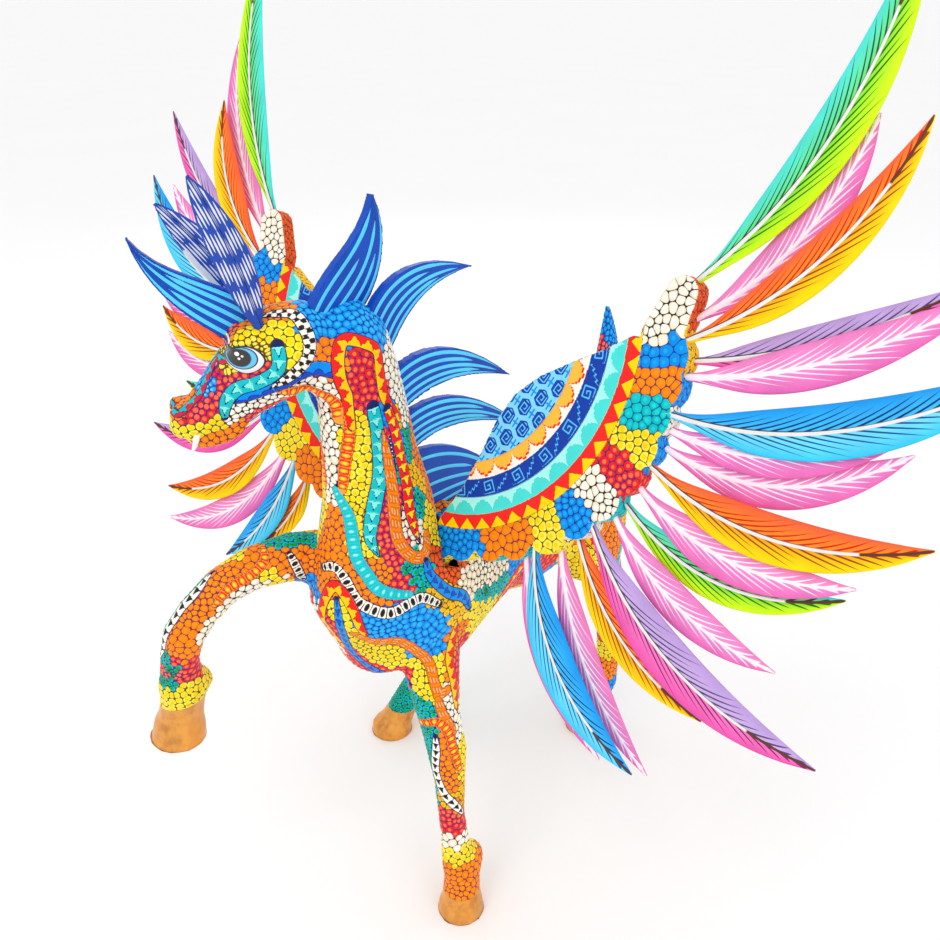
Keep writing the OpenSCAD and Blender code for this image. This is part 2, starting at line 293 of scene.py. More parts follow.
# A cell's ring, centre and outline, the centre's share of the cell, and the cells' pitch.
CELLS = {
    "orange": (tint(255, 132, 0), tint(255, 142, 6), tint(122, 50, 70), 0.55, 5.0),
    "big_orange": (tint(255, 132, 0), tint(255, 144, 8), tint(112, 46, 96), 0.5, 6.4),
    "yellow": (tint(255, 232, 70), tint(255, 214, 0), OLIVE, 0.62, 5.3),
    "big_yellow": (tint(255, 234, 60), tint(255, 216, 0), OLIVE, 0.66, 5.7),
    "bead": (tint(255, 226, 60), tint(255, 232, 110), OLIVE, 0.5, 2.9),
    "gold": (tint(255, 196, 20), tint(240, 168, 0), OLIVE, 0.5, 4.6),
    "white": (tint(246, 234, 208), WHITE, INK, 0.72, 5.0),
    "cream": (tint(240, 224, 190), tint(252, 242, 218), INK, 0.66, 4.7),
    "blue": (tint(0, 142, 232), tint(20, 166, 250), tint(6, 66, 160), 0.5, 5.1),
    "big_blue": (tint(0, 150, 238), tint(40, 178, 250), tint(6, 66, 160), 0.6, 5.4),
    "sky": (tint(50, 160, 235), SKY, tint(10, 80, 170), 0.45, 3.7),
    "red": (tint(232, 36, 30), tint(255, 112, 74), tint(104, 34, 104), 0.56, 4.7),
    "berry": (tint(214, 30, 60), tint(232, 60, 70), tint(104, 34, 110), 0.5, 3.2),
    "green": (tint(0, 186, 190), tint(0, 160, 50), tint(10, 60, 110), 0.58, 4.5),
    "teal": (tint(0, 190, 196), tint(20, 208, 210), tint(0, 96, 130), 0.5, 5.0),
    "rust": (tint(226, 82, 20), tint(240, 100, 30), tint(110, 30, 20), 0.5, 4.6),
}


# ---- meshes as arrays --------------------------------------------------------------
def points_of(mesh):
    co = np.zeros(len(mesh.vertices) * 3)
    mesh.vertices.foreach_get("co", co)
    return co.reshape(-1, 3)


def faces_of(mesh):
    """The faces as rows of four corners; a triangle's last corner is -1."""
    start = np.zeros(len(mesh.polygons), int)
    total = np.zeros(len(mesh.polygons), int)
    corner = np.zeros(len(mesh.loops), int)
    mesh.polygons.foreach_get("loop_start", start)
    mesh.polygons.foreach_get("loop_total", total)
    mesh.loops.foreach_get("vertex_index", corner)
    rows = np.full((len(start), 4), -1)
    for k in range(4):
        has = total > k
        rows[has, k] = corner[start[has] + k]
    return rows


def mesh_from(name, points, faces):
    """A mesh of these points, in horse millimetres, and rows of three or four corners."""
    mesh = bpy.data.meshes.new(name)
    rows = np.asarray(faces)
    if rows.shape[1] == 3:
        rows = np.column_stack([rows, np.full(len(rows), -1)])
    size = np.where(rows[:, 3] < 0, 3, 4)
    corners = rows.ravel()[(rows >= 0).ravel()]
    mesh.vertices.add(len(points))
    mesh.vertices.foreach_set("co", to_frame(points).ravel())
    mesh.loops.add(len(corners))
    mesh.loops.foreach_set("vertex_index", corners.astype(np.int32))
    mesh.polygons.add(len(rows))
    starts = np.concatenate([[0], np.cumsum(size)[:-1]])
    mesh.polygons.foreach_set("loop_start", starts.astype(np.int32))
    mesh.polygons.foreach_set("loop_total", size.astype(np.int32))
    mesh.update(calc_edges=True)
    mesh.shade_smooth()
    return mesh


def object_from(name, mesh):
    made = bpy.data.objects.new(name, mesh)
    bpy.context.scene.collection.objects.link(made)
    return made


def after_modifiers(mesh, build):
    """The points, in horse millimetres, and faces of a mesh after the modifiers that build adds."""
    holder = object_from("holder", mesh)
    build(holder)
    depsgraph = bpy.context.evaluated_depsgraph_get()
    done = holder.evaluated_get(depsgraph).to_mesh()
    result = to_horse(points_of(done)), faces_of(done)
    bpy.data.objects.remove(holder)
    return result


def remeshed(points, faces, voxel):
    """The outer skin of a shape, as even quads of about this size."""
    def build(holder):
        remesh = holder.modifiers.new("remesh", "REMESH")
        remesh.mode = "VOXEL"
        remesh.voxel_size = voxel * MM
    return after_modifiers(mesh_from("clay", points, faces), build)


def subdivided(points, faces, levels):
    """A shape with its faces cut up finer and smoothed, this many times."""
    def build(holder):
        smooth = holder.modifiers.new("smooth", "SUBSURF")
        smooth.levels = levels
        smooth.render_levels = levels
    return after_modifiers(mesh_from("clay", points, faces), build)


def carved(points, faces, cutters):
    """The solid less each cutter. Returns points and faces."""
    def build(holder):
        for cutter in cutters:
            cut = holder.modifiers.new("cut", "BOOLEAN")
            cut.operation = "DIFFERENCE"
            cut.solver = "MANIFOLD"
            cut.object = cutter
    result = after_modifiers(mesh_from("clay", points, faces), build)
    for cutter in cutters:
        bpy.data.objects.remove(cutter)
    return result


def sides_of(rows):
    """Every side of every face, as rows of the two points it runs between."""
    quad = rows[:, 3] >= 0
    return np.concatenate([rows[:, [0, 1]], rows[:, [1, 2]], rows[quad][:, [2, 3]],
                           rows[quad][:, [3, 0]], rows[~quad][:, [2, 0]]])


def edges_of(faces):
    """Each edge of these faces once, as rows of two points."""
    return np.unique(np.sort(sides_of(faces), axis=1), axis=0)


def neighbour_mean(values, edges, count):
    """The mean of each point's neighbours."""
    a, b = edges[:, 0], edges[:, 1]
    number = np.bincount(a, minlength=count) + np.bincount(b, minlength=count)
    number = np.maximum(number, 1)
    out = np.empty_like(values)
    for k in range(values.shape[1]):
        total = np.bincount(a, values[b, k], count) + np.bincount(b, values[a, k], count)
        out[:, k] = total / number
    return out


def relaxed(points, faces, rounds, shrink=0.5, swell=-0.52):
    """Smooths without shrinking: a step in, then a slightly longer step out."""
    edges = edges_of(faces)
    p = points.copy()
    for _ in range(rounds):
        for step in (shrink, swell):
            p += step * (neighbour_mean(p, edges, len(p)) - p)
    return p


def normals_of(points, faces):
    """A unit normal at each point, weighted by the faces' areas."""
    rows = np.asarray(faces)
    last = np.where(rows[:, 3] < 0, rows[:, 2], rows[:, 3])
    across = np.cross(points[rows[:, 2]] - points[rows[:, 0]],
                      points[last] - points[rows[:, 1]])
    tri = rows[:, 3] < 0
    across[tri] = np.cross(points[rows[tri, 1]] - points[rows[tri, 0]],
                           points[rows[tri, 2]] - points[rows[tri, 0]])
    out = np.zeros_like(points)
    for k in range(4):
        has = rows[:, k] >= 0
        for axis in range(3):
            out[:, axis] += np.bincount(rows[has, k], across[has, axis], len(points))
    return unit(out)


def cad_shape(node):
    """A CAD node's points, in horse millimetres, and its faces."""
    mesh = nodes[node].data
    return to_horse(points_of(mesh)), faces_of(mesh)


def welded(node):
    """A CAD node's points with equal ones run together, and each face's corners."""
    raw, faces = cad_shape(node)
    points, where = np.unique(np.round(raw, 2), axis=0, return_inverse=True)
    where = where.ravel()
    return points, [[int(where[k]) for k in row if k >= 0] for row in faces]


def joined(shapes):
    """Several shapes as one: points and faces."""
    points, faces, count = [], [], 0
    for p, f in shapes:
        f = np.asarray(f)
        if f.shape[1] == 3:
            f = np.column_stack([f, np.full(len(f), -1)])
        points.append(p)
        faces.append(np.where(f >= 0, f + count, -1))
        count += len(p)
    return np.concatenate(points), np.concatenate(faces)


def tube(centres, sides, ups, n):
    """Rings of n points round each centre, spanned by a side and an up vector, with caps."""
    angle = np.arange(n) * 2 * math.pi / n
    c, s = np.cos(angle), np.sin(angle)
    rings = (np.asarray(centres)[:, None] + np.asarray(sides)[:, None] * c[None, :, None]
             + np.asarray(ups)[:, None] * s[None, :, None])
    return tube_of(rings)


def tube_of(rings):
    """Joins rings of points, given as an array of ring, point and xyz, and closes the ends."""
    m, n = rings.shape[:2]
    points = rings.reshape(-1, 3)
    k = np.arange(n)
    after = (k + 1) % n
    faces = [np.column_stack([r * n + k, r * n + after, (r + 1) * n + after, (r + 1) * n + k])
             for r in range(m - 1)]
    ends = np.array([rings[0].mean(0), rings[-1].mean(0)])
    points = np.concatenate([points, ends])
    first, last = m * n, m * n + 1
    none = np.full(n, -1)
    faces.append(np.column_stack([after, k, np.full(n, first), none]))
    faces.append(np.column_stack([(m - 1) * n + k, (m - 1) * n + after, np.full(n, last), none]))
    return points, np.concatenate(faces)


def ball(centre, radii, axes=np.eye(3), n=20):
    """A stretched ball; axes are its three directions as rows."""
    turn = np.linspace(0.03, math.pi - 0.03, 12)
    axes = np.asarray(axes, float)
    rows = [np.asarray(centre) + axes[2] * radii[2] * math.cos(t) for t in turn]
    sides = [axes[0] * radii[0] * math.sin(t) for t in turn]
    ups = [axes[1] * radii[1] * math.sin(t) for t in turn]
    return tube(rows[::-1], sides[::-1], ups[::-1], n)


def rod(start, end, r0, r1, n=24):
    """A straight round rod with a radius at each end."""
    d = unit(np.asarray(end, float) - start)
    side = unit(np.cross(d, [0.3, 0.2, 1.0] if abs(d[2]) < 0.8 else [1.0, 0.2, 0.1]))
    up = np.cross(d, side)
    return tube([start, end], [side * r0, side * r1], [up * r0, up * r1], n)


def spline(points, count):
    """A smooth curve through these points, evenly walked, as count points."""
    p = np.asarray(points, float)
    p = np.concatenate([[2 * p[0] - p[1]], p, [2 * p[-1] - p[-2]]])
    t = np.linspace(0, 1, 12, endpoint=False)[:, None]
    parts = []
    for k in range(1, len(p) - 2):
        a, b, c, d = p[k - 1], p[k], p[k + 1], p[k + 2]
        parts.append(0.5 * (2 * b + (c - a) * t + (2 * a - 5 * b + 4 * c - d) * t ** 2
                            + (3 * b - a - 3 * c + d) * t ** 3))
    dense = np.concatenate(parts + [p[-2:-1]])
    walk = np.concatenate([[0], np.cumsum(np.linalg.norm(np.diff(dense, axis=0), axis=1))])
    at = np.linspace(0, walk[-1], count)
    return np.column_stack([np.interp(at, walk, dense[:, k]) for k in range(dense.shape[1])])


# ---- head frame ------------------------------------------------------------------
POLL = np.array([-16.0, -124.0, 440.0])
HEAD_TURN = math.radians(34)
FORWARD = np.array([-math.sin(HEAD_TURN), -math.cos(HEAD_TURN), 0.0])
LEFTWARD = np.array([math.cos(HEAD_TURN), -math.sin(HEAD_TURN), 0.0])
UPWARD = np.array([0.0, 0.0, 1.0])
HEAD_AXES = np.array([FORWARD, LEFTWARD, UPWARD])


def on_head(f, u, s=0.0):
    """A point forward, up and leftward of the poll."""
    return POLL + FORWARD * f + UPWARD * u + LEFTWARD * s


def in_head(p):
    """Forward, up and leftward of the poll."""
    d = p - POLL
    return d @ FORWARD, d[..., 2], d @ LEFTWARD


# ---- the carved body ----------------------------------------------------------------
def peg_of(node, body):
    """Where a peg's end is and which way it comes out, from the peg's lowest points."""
    p = cad_shape(node)[0]
    axis = unit(joint_axis[body])
    along = p @ axis
    end = p[along < along.min() + 0.2]
    return end.mean(0), axis


SOLES = {"leg_fore_left": (69, -99, 16.5), "leg_hind_left": (32, 131, 17),
         "leg_hind_right": (-107, 12, 18)}
CLAY_VOXEL = 2.9


def body_clay():
    """The CAD trunk and legs with their sockets filled, and the carved forms added."""
    shapes = [cad_shape(node) for node in ("trunk", "leg_fore_left", "leg_fore_right",
                                           "leg_hind_left", "leg_hind_right")]
    for body, depth, radius in (("ear_left", 12, 4.5), ("ear_right", 12, 4.5),
                                ("tail", 17, 6.5)):
        end, axis = peg_of(body, body)
        shapes.append(rod(end - axis * 2, end + axis * (depth - 4), radius, radius))
    for side in SIDE:
        end, axis = peg_of("wing_plate_" + side, "wing_" + side)
        shapes.append(rod(end - axis * 2, end + axis * 22, 11, 11))
    for s in (1, -1):
        shapes += [
            ball(on_head(40, 7, s * 11), (13, 9, 10), HEAD_AXES),      # brow
            ball(on_head(22, -14, s * 11), (14, 11, 14), HEAD_AXES),   # cheek
            ball(on_head(83, -33, s * 7.5), (7, 5.5, 6), HEAD_AXES),   # nostril
        ]
    shapes += [
        ball(on_head(43, 9, 0), (11, 9, 9), HEAD_AXES),              # forehead
        ball(np.array([64.5, -79, 40]), (8, 6, 9)),                  # tufts behind the fetlocks
        ball(np.array([35.5, 154, 42]), (8, 6, 9)),
        ball(np.array([-95, 58, 46]), (8, 6, 9)),
        ball(np.array([-80, -196, 206]), (10, 7, 8)),
    ]
    for x, y, r in SOLES.values():
        shapes.append(rod(np.array([x, y, 9.0]), np.array([x, y, -9.0]), r, r + 1.5))
    shapes.append(rod(np.array([-88, -212, 176.0]), np.array([-91, -215, 152.0]), 17, 19.5))
    return joined(shapes)


HOOF_CUT = unit([-0.09, -0.05, -1.0])    # the raised hoof's sole faces this way
HOOF_SOLE = np.array([-90.0, -214.0, 162.0])


def at_raised_hoof(p, top=200):
    """Which points are at the raised hoof, below this height."""
    return (p[:, 1] < -180) & (p[:, 2] < top)


def below_floor(p):
    """How far a point is past a standing sole or the raised hoof's sole."""
    return np.where(at_raised_hoof(p), (p - HOOF_SOLE) @ HOOF_CUT, -p[:, 2])


# ---- charts ---------------------------------------------------------------------------
class Chart:
    """Places on the body by a key along a line inside it and a turn round the line, in
    degrees: 0 is the front, or the top of a level line, and 90 the horse's left."""

    def __init__(self, rows, heading=None):
        rows = np.array(rows, float)
        rows = rows[np.argsort(rows[:, 0])]
        self.keys, self.line, self.heading = rows[:, 0], rows[:, 1:], heading

    def centre(self, key):
        return np.array([np.interp(key, self.keys, self.line[:, k]) for k in range(3)])

    def spot(self, key, turn):
        start = self.centre(key)
        heading = self.heading
        if heading is None:
            heading = self.centre(key + 5) - self.centre(key - 5)
        outer = unit(np.cross(heading, [1, 0, 0]))
        t = math.radians(turn)
        way = outer * math.cos(t) + np.array([1, 0, 0]) * math.sin(t)
        return outward(start, way)


class HeadChart:
    """Places on the head by how far forward and up of the poll they are; the side is the
    sign of the third number, and 0 is the middle line."""

    def spot(self, forward, up, side=1):
        start = on_head(min(forward, 74), up if forward < 74 else max(up, -52))
        if side == 0:
            middle = on_head(20, -12)
            return outward(middle, unit(on_head(forward, up) - middle))
        found = body_tree.ray_cast(Vector(on_head(forward, up)), Vector(LEFTWARD * side))
        if found[0] is None or abs(np.dot(np.array(found[0]) - start, LEFTWARD)) > 45:
            found = body_tree.find_nearest(Vector(on_head(forward, up, side * 12)))
        return np.array(found[0])


def outward(start, way):
    """Where a line from inside the body comes out."""
    found = body_tree.ray_cast(Vector(start), Vector(way))
    if found[0] is None:
        found = body_tree.find_nearest(Vector(start + way * 20))
    return np.array(found[0])


DOWN = np.array([0.0, 0.0, -1.0])
# Each chart's line is rows of a key, x, y and z.
CHART = {
    "neck": Chart([(180, 0, -62, 180), (220, 0, -70, 220), (258, 0, -82, 258),
                   (280, 0, -96, 280), (335, -1, -101, 335), (388, -6, -105, 388),
                   (412, -9, -110, 412), (432, -14, -120, 432), (454, -18, -129, 454)], DOWN),
    "barrel": Chart([(-100, 0, -100, 258), (170, 0, 170, 258)], np.array([0.0, -1.0, 0.0])),
    "fore_left": Chart([(0, 69, -99, 0), (41, 65, -91, 41), (58, 62, -96, 58),
                        (120, 55, -94, 120), (182, 42, -92, 182), (250, 28, -70, 250)], DOWN),
    "hind_left": Chart([(0, 32, 131, 0), (44, 36, 143, 44), (100, 38, 146, 100),
                        (150, 40, 128, 150), (210, 37, 118, 210), (262, 22, 128, 262)], DOWN),
    "hind_right": Chart([(0, -107, 12, 0), (48, -96, 43, 48), (98, -74, 80, 98),
                         (148, -56, 90, 148), (208, -40, 98, 208), (262, -24, 116, 262)], DOWN),
    "fore_right": Chart([(0, -24, -92, 264), (59, -40, -142, 291), (106, -58, -185, 282),
                         (147, -69, -211, 253), (177, -77, -212, 224), (205, -83, -210, 197),
                         (240, -90, -214, 163)]),
    "head": HeadChart(),
}
CHART["near_neck"] = CHART["far_neck"] = CHART["neck"]


def mirrored(chart, point):
    """The same place on the horse's other side."""
    if chart == "head":
        return (*point[:2], -1)
    return (point[0], -point[1])


def route(chart, points, step=1.0):
    """A curve on the body through these places: its points, headings and normals."""
    keys = spline(points, max(8, 5 * len(points)))
    raw = np.array([CHART[chart].spot(*k) for k in keys])
    length = np.linalg.norm(np.diff(raw, axis=0), axis=1).sum()
    path = spline(raw, max(8, int(length / step)))
    for _ in range(2):
        path[1:-1] = (path[:-2] + 2 * path[1:-1] + path[2:]) / 4
    found = [body_tree.find_nearest(Vector(p)) for p in path]
    path = np.array([f[0] for f in found])
    normal = unit(np.array([f[1] for f in found]))
    heading = unit(np.gradient(path, axis=0))
    return path, heading, normal


# ---- painted bands ----------------------------------------------------------------------
def tri(x):
    """A triangle wave from -1 to 1 with period 1."""
    return 4 * np.abs(x - np.floor(x + 0.5)) - 1


class Paint:
    """What a piece's points carry: three colours and two distances, and a height."""

    def __init__(self, count):
        self.tone = np.zeros((count, 3))
        self.mark = np.zeros((count, 3))
        self.edge = np.tile(NAVY, (count, 1))
        self.mark_d = np.full(count, -9.0)
        self.edge_d = np.full(count, 9.0)
        self.height = np.zeros(count)


LINE = 0.36       # half of a painted band's outline, in millimetres
THIN = 0.23       # half of a cell's outline
ROUND = 0.40      # how round a cell's corners are
LANE = 1.9        # from one brush stroke to the next beside it


def tiles(s, length, pitch):
    """How far along its tile each point is from the tile's middle; tiles fit the length."""
    number = max(1, round(length / pitch))
    size = length / number
    return (s / size - np.floor(s / size) - 0.5) * size, size


def ladder(ground, spot, pitch=6.2, slim=0.24, line=INK):
    """Rungs across the band with an oval between them."""
    def draw(s, t, w, length):
        ds, size = tiles(s, length, pitch)
        oval = np.hypot(ds / (slim * size), t / np.maximum(0.58 * w, 0.3))
        return ground, spot, line, (1 - oval) * slim * size, size / 2 - np.abs(ds) - 0.3
    return draw


def hatch(ground, stripe, pitch=8.0, line=tint(226, 112, 14)):
    """Short strokes along the band, in groups whose ends are ragged."""
    def draw(s, t, w, length):
        ds, size = tiles(s, length, pitch)
        lane = np.round(t / LANE)
        shift = 1.3 * np.sin(lane * 2.4) + 0.4
        stroke = 0.62 - np.abs(t - lane * LANE)
        inside = np.minimum(stroke, (size * 0.34 - np.abs(ds - shift)) * 0.5)
        return ground, stripe, line, inside, np.full(len(s), 9.0)
    return draw


def steps(ground, shape, pitch=7.5, line=NAVY, reach=0.82):
    """Stepped trees that stand across the band and point along it, one to a tile."""
    def draw(s, t, w, length):
        ds, size = tiles(s, length, pitch)
        up = (ds / size + 0.5) / reach
        stair = (np.floor(up * 4) + 0.5) / 4 * 0.6 + up * 0.4
        half = w * np.where(up < 0.16, 0.95, 0.62 * (1 - stair))
        rail = np.abs(ds / size + 0.5) * size - 0.3
        inside = np.minimum(half - np.abs(t), (1 - up) * size * 0.5)
        return ground, shape, line, inside, np.maximum(rail, -9)
    return draw


def flame(ground, shape, pitch=9.0, line=tint(120, 30, 20)):
    """Two colours that meet along a ragged saw-tooth."""
    def draw(s, t, w, length):
        wave = 0.62 * w * tri(s / pitch) + 0.16 * w * tri(s / pitch * 3 + 0.2)
        return ground, shape, line, -t - wave, np.full(len(s), 9.0)
    return draw


def scallops(ground, shape, pitch=8.5, line=NAVY):
    """A row of arcs along one side."""
    def draw(s, t, w, length):
        ds, size = tiles(s, length, pitch)
        bow = w * (0.75 - 1.2 * (2 * ds / size) ** 2) + 0.5 * np.maximum(0, 1 - np.abs(ds))
        return ground, shape, line, -(t + 0.35 * w) + 0.45 * bow - 0.1 * w, np.full(len(s), 9.0)
    return draw


def ticks(ground, stroke, pitch=5.8):
    """Pairs of thin strokes across the band, turn about on one side and the other."""
    def draw(s, t, w, length):
        ds, size = tiles(s, length, pitch)
        inside = np.full(len(s), -9.0)
        for side in (-1, 1):
            along = ds if side > 0 else (ds + size) % size - size / 2
            line = np.abs(along - 1.2 * np.clip(np.round(along / 1.2), -0.6, 0.6))
            ragged = 0.33 * w + 0.3 * np.sin(s * 2.7 + side)
            inside = np.maximum(inside, np.minimum(0.40 - line, ragged - np.abs(t - side * 0.4 * w)))
        return ground, stroke, INK, inside, np.full(len(s), 9.0)
    return draw


def dotted(ground, dot, pitch=2.6, line=NAVY):
    """Round dots in a row."""
    def draw(s, t, w, length):
        ds, _ = tiles(s, length, pitch)
        return ground, dot, line, 0.8 - np.hypot(ds, t), np.full(len(s), 9.0)
    return draw


BAND = {
    "black_ladder": ladder(WHITE, INK, 5.4, 0.22),
    "teal_ladder": ladder(TEAL, tint(150, 240, 232), 5.2, 0.20, tint(50, 205, 212)),
    "red_ladder": ladder(tint(232, 58, 16), YELLOW, 5.2, 0.22, tint(250, 160, 60)),
    "hatch": hatch(ORANGE, tint(255, 190, 130)),
    "teal_steps": steps(TEAL, AQUA),
    "red_steps": steps(RED, YELLOW),
    "blue_steps": steps(BLUE, ROYAL, 7.0),
    "black_steps": steps(WHITE, INK, 6.5, reach=0.7),
    "flame": flame(RED, tint(250, 200, 10)),
    "scallops": scallops(tint(0, 140, 245), tint(30, 74, 190)),
    "ticks": ticks(WHITE, tint(60, 50, 45)),
    "white": dotted(WHITE, WHITE),
    "white_dots": dotted(ROYAL, WHITE),
    "saw": flame(tint(214, 40, 60), TEAL, 7.0, NAVY),
}

# Each band is its pattern, chart, half-width, how its ends taper, and its places. A band
# of the head, neck or barrel is painted on both sides.
BANDS = [
    # throat and neck
    ("red_ladder", "head", 4.2, (0.7, 0.0), [(27, -22), (20, -22), (12, -23), (4, -27),
                                            (-4, -33), (-6, -42)]),
    ("red_ladder", "neck", 3.8, 0.3, [(402, 36), (395, 36), (385, 31), (369, 21), (352, 14)]),
    ("scallops", "head", 4.6, (0.75, 0.2), [(54, -26), (42, -21), (28, -16), (19, -12),
                                           (6, -9), (-8, -13)]),
    ("flame", "neck", 3.9, 0.35, [(392, 38), (406, 42), (424, 53), (438, 75), (445, 103),
                                 (436, 124), (422, 115), (408, 105), (397, 112), (389, 121)]),
    ("teal_steps", "neck", 5.0, (0.15, 0.85), [(402, 80), (386, 74), (363, 65), (346, 51),
                                              (334, 43), (322, 39), (310, 45)]),
    ("red_steps", "neck", 4.4, (0.2, 0.9), [(398, 104), (384, 106), (368, 104), (350, 99),
                                           (336, 92), (322, 90), (310, 92)]),
    ("white_dots", "neck", 1.2, 0.4, [(381, 93), (370, 90), (357, 85), (341, 78), (332, 77)]),
    ("hatch", "neck", 4.2, (0.85, 0.2), [(386, 83), (360, 79), (338, 71), (320, 67), (307, 74),
                                        (301, 86), (304, 98), (312, 104)]),
    ("teal_ladder", "near_neck", 4.2, 0.4, [(351, 5), (336, 18), (311, 25), (298, 34), (289, 41),
                                      (284, 53), (281, 66)]),
    ("black_ladder", "near_neck", 4.0, 0.4, [(297, -8), (301, 5), (295, 15), (281, 25), (272, 43),
                                       (275, 60), (276, 74), (266, 82)]),
    # breast
    ("flame", "near_neck", 4.0, 0.4, [(214, 12), (232, 2), (252, -4), (274, -4), (288, 5), (284, 15),
                                (272, 21), (256, 22)]),
    ("blue_steps", "near_neck", 3.6, 0.5, [(280, 8), (261, 9), (236, 5), (220, 10), (208, 24),
                                     (203, 38)]),
    ("hatch", "near_neck", 3.6, 0.3, [(255, 15), (248, 26), (246, 40), (232, 50), (220, 55),
                                (208, 55), (194, 56)]),
    ("blue_steps", "barrel", 4.2, 0.5, [(-97, 45), (-96, 57), (-85, 75), (-72, 86), (-66, 100)]),
    # legs
    ("flame", "fore_left", 3.9, 0.6, [(243, 72), (232, 75), (219, 66), (203, 84), (190, 100),
                                     (178, 112)]),
    ("hatch", "fore_left", 3.4, 0.4, [(194, 42), (187, 50), (176, 65), (163, 86)]),
    ("red_ladder", "fore_left", 3.6, 0.4, [(172, -15), (175, 15), (176, 40), (165, 68),
                                          (149, 74), (131, 90)]),
    ("black_steps", "fore_left", 3.6, 0.6, [(164, 26), (151, 18), (133, -3), (117, 10),
                                           (106, 46), (92, 95)]),
    ("red_ladder", "fore_right", 3.2, 0.6, [(74, 4), (80, 36), (92, 56), (104, 62), (118, 60)]),
    ("black_steps", "fore_right", 4.2, 0.7, [(104, -16), (118, -10), (136, -14), (152, -24),
                                            (164, -38)]),
    ("black_ladder", "fore_right", 3.0, 0.5, [(65, 46), (66, 66), (66, 86), (65, 108),
                                             (62, 130)]),
    # barrel
    ("teal_steps", "barrel", 4.6, 0.8, [(-42, 74), (-22, 66), (4, 72), (28, 84), (52, 80),
                                       (78, 66), (104, 52), (128, 50)]),
    ("flame", "barrel", 4.0, 0.7, [(-28, 128), (-4, 112), (22, 106), (50, 112), (74, 104)]),
    ("red_steps", "barrel", 3.8, 0.8, [(-30, 34), (-2, 26), (26, 34), (54, 42), (84, 30),
                                      (112, 26)]),
    ("black_ladder", "barrel", 3.8, 0.6, [(60, 96), (84, 86), (108, 74), (132, 80), (150, 100)]),
    ("hatch", "barrel", 3.6, 0.6, [(72, 128), (96, 118), (118, 104), (138, 112)]),
    ("scallops", "barrel", 4.0, 0.8, [(100, 20), (124, 30), (146, 60), (156, 110)]),
    # hind legs
    ("flame", "hind_left", 4.0, 0.5, [(236, 20), (214, 48), (190, 60), (168, 92), (150, 130)]),
    ("teal_steps", "hind_left", 4.0, 0.6, [(226, 120), (202, 104), (178, 100), (156, 72),
                                          (138, 40)]),
    ("red_ladder", "hind_left", 3.2, 0.3, [(116, -60), (120, 0), (116, 60), (110, 120)]),
    ("flame", "hind_right", 4.0, 0.5, [(236, -20), (214, -48), (190, -60), (168, -92),
                                      (150, -130)]),
    ("teal_steps", "hind_right", 4.0, 0.6, [(226, -120), (202, -104), (178, -100), (156, -72),
                                           (138, -40)]),
    ("black_steps", "hind_right", 3.6, 0.5, [(128, 120), (122, 60), (116, 0), (108, -60)]),
    # face
    ("teal_steps", "head", 4.3, (0.1, 0.6), [(26, 7), (26, -2), (29, -8), (39, -14), (49, -17),
                                            (55, -22), (58, -28), (59, -36)]),
    ("ticks", "head", 3.9, 0.85, [(33, 20), (24, 22), (14, 21), (9, 13), (8, 5), (11, -3),
                                 (20, -11), (27, -15), (32, -18)]),
    ("white", "head", 1.5, 0.7, [(52, 13), (56, 4), (59, -3), (64, -12)]),
    ("saw", "head", 2.4, 0.5, [(53, 7), (57, 1), (62, -7), (67, -15), (72, -23), (80, -29),
                              (88, -32)]),
]

RING = (0, 60, 120, 180, -60, -120)


def ringed(key, turns=RING):
    """The places of a patch that goes round a leg at one height."""
    return [(key, turn) for turn in turns]


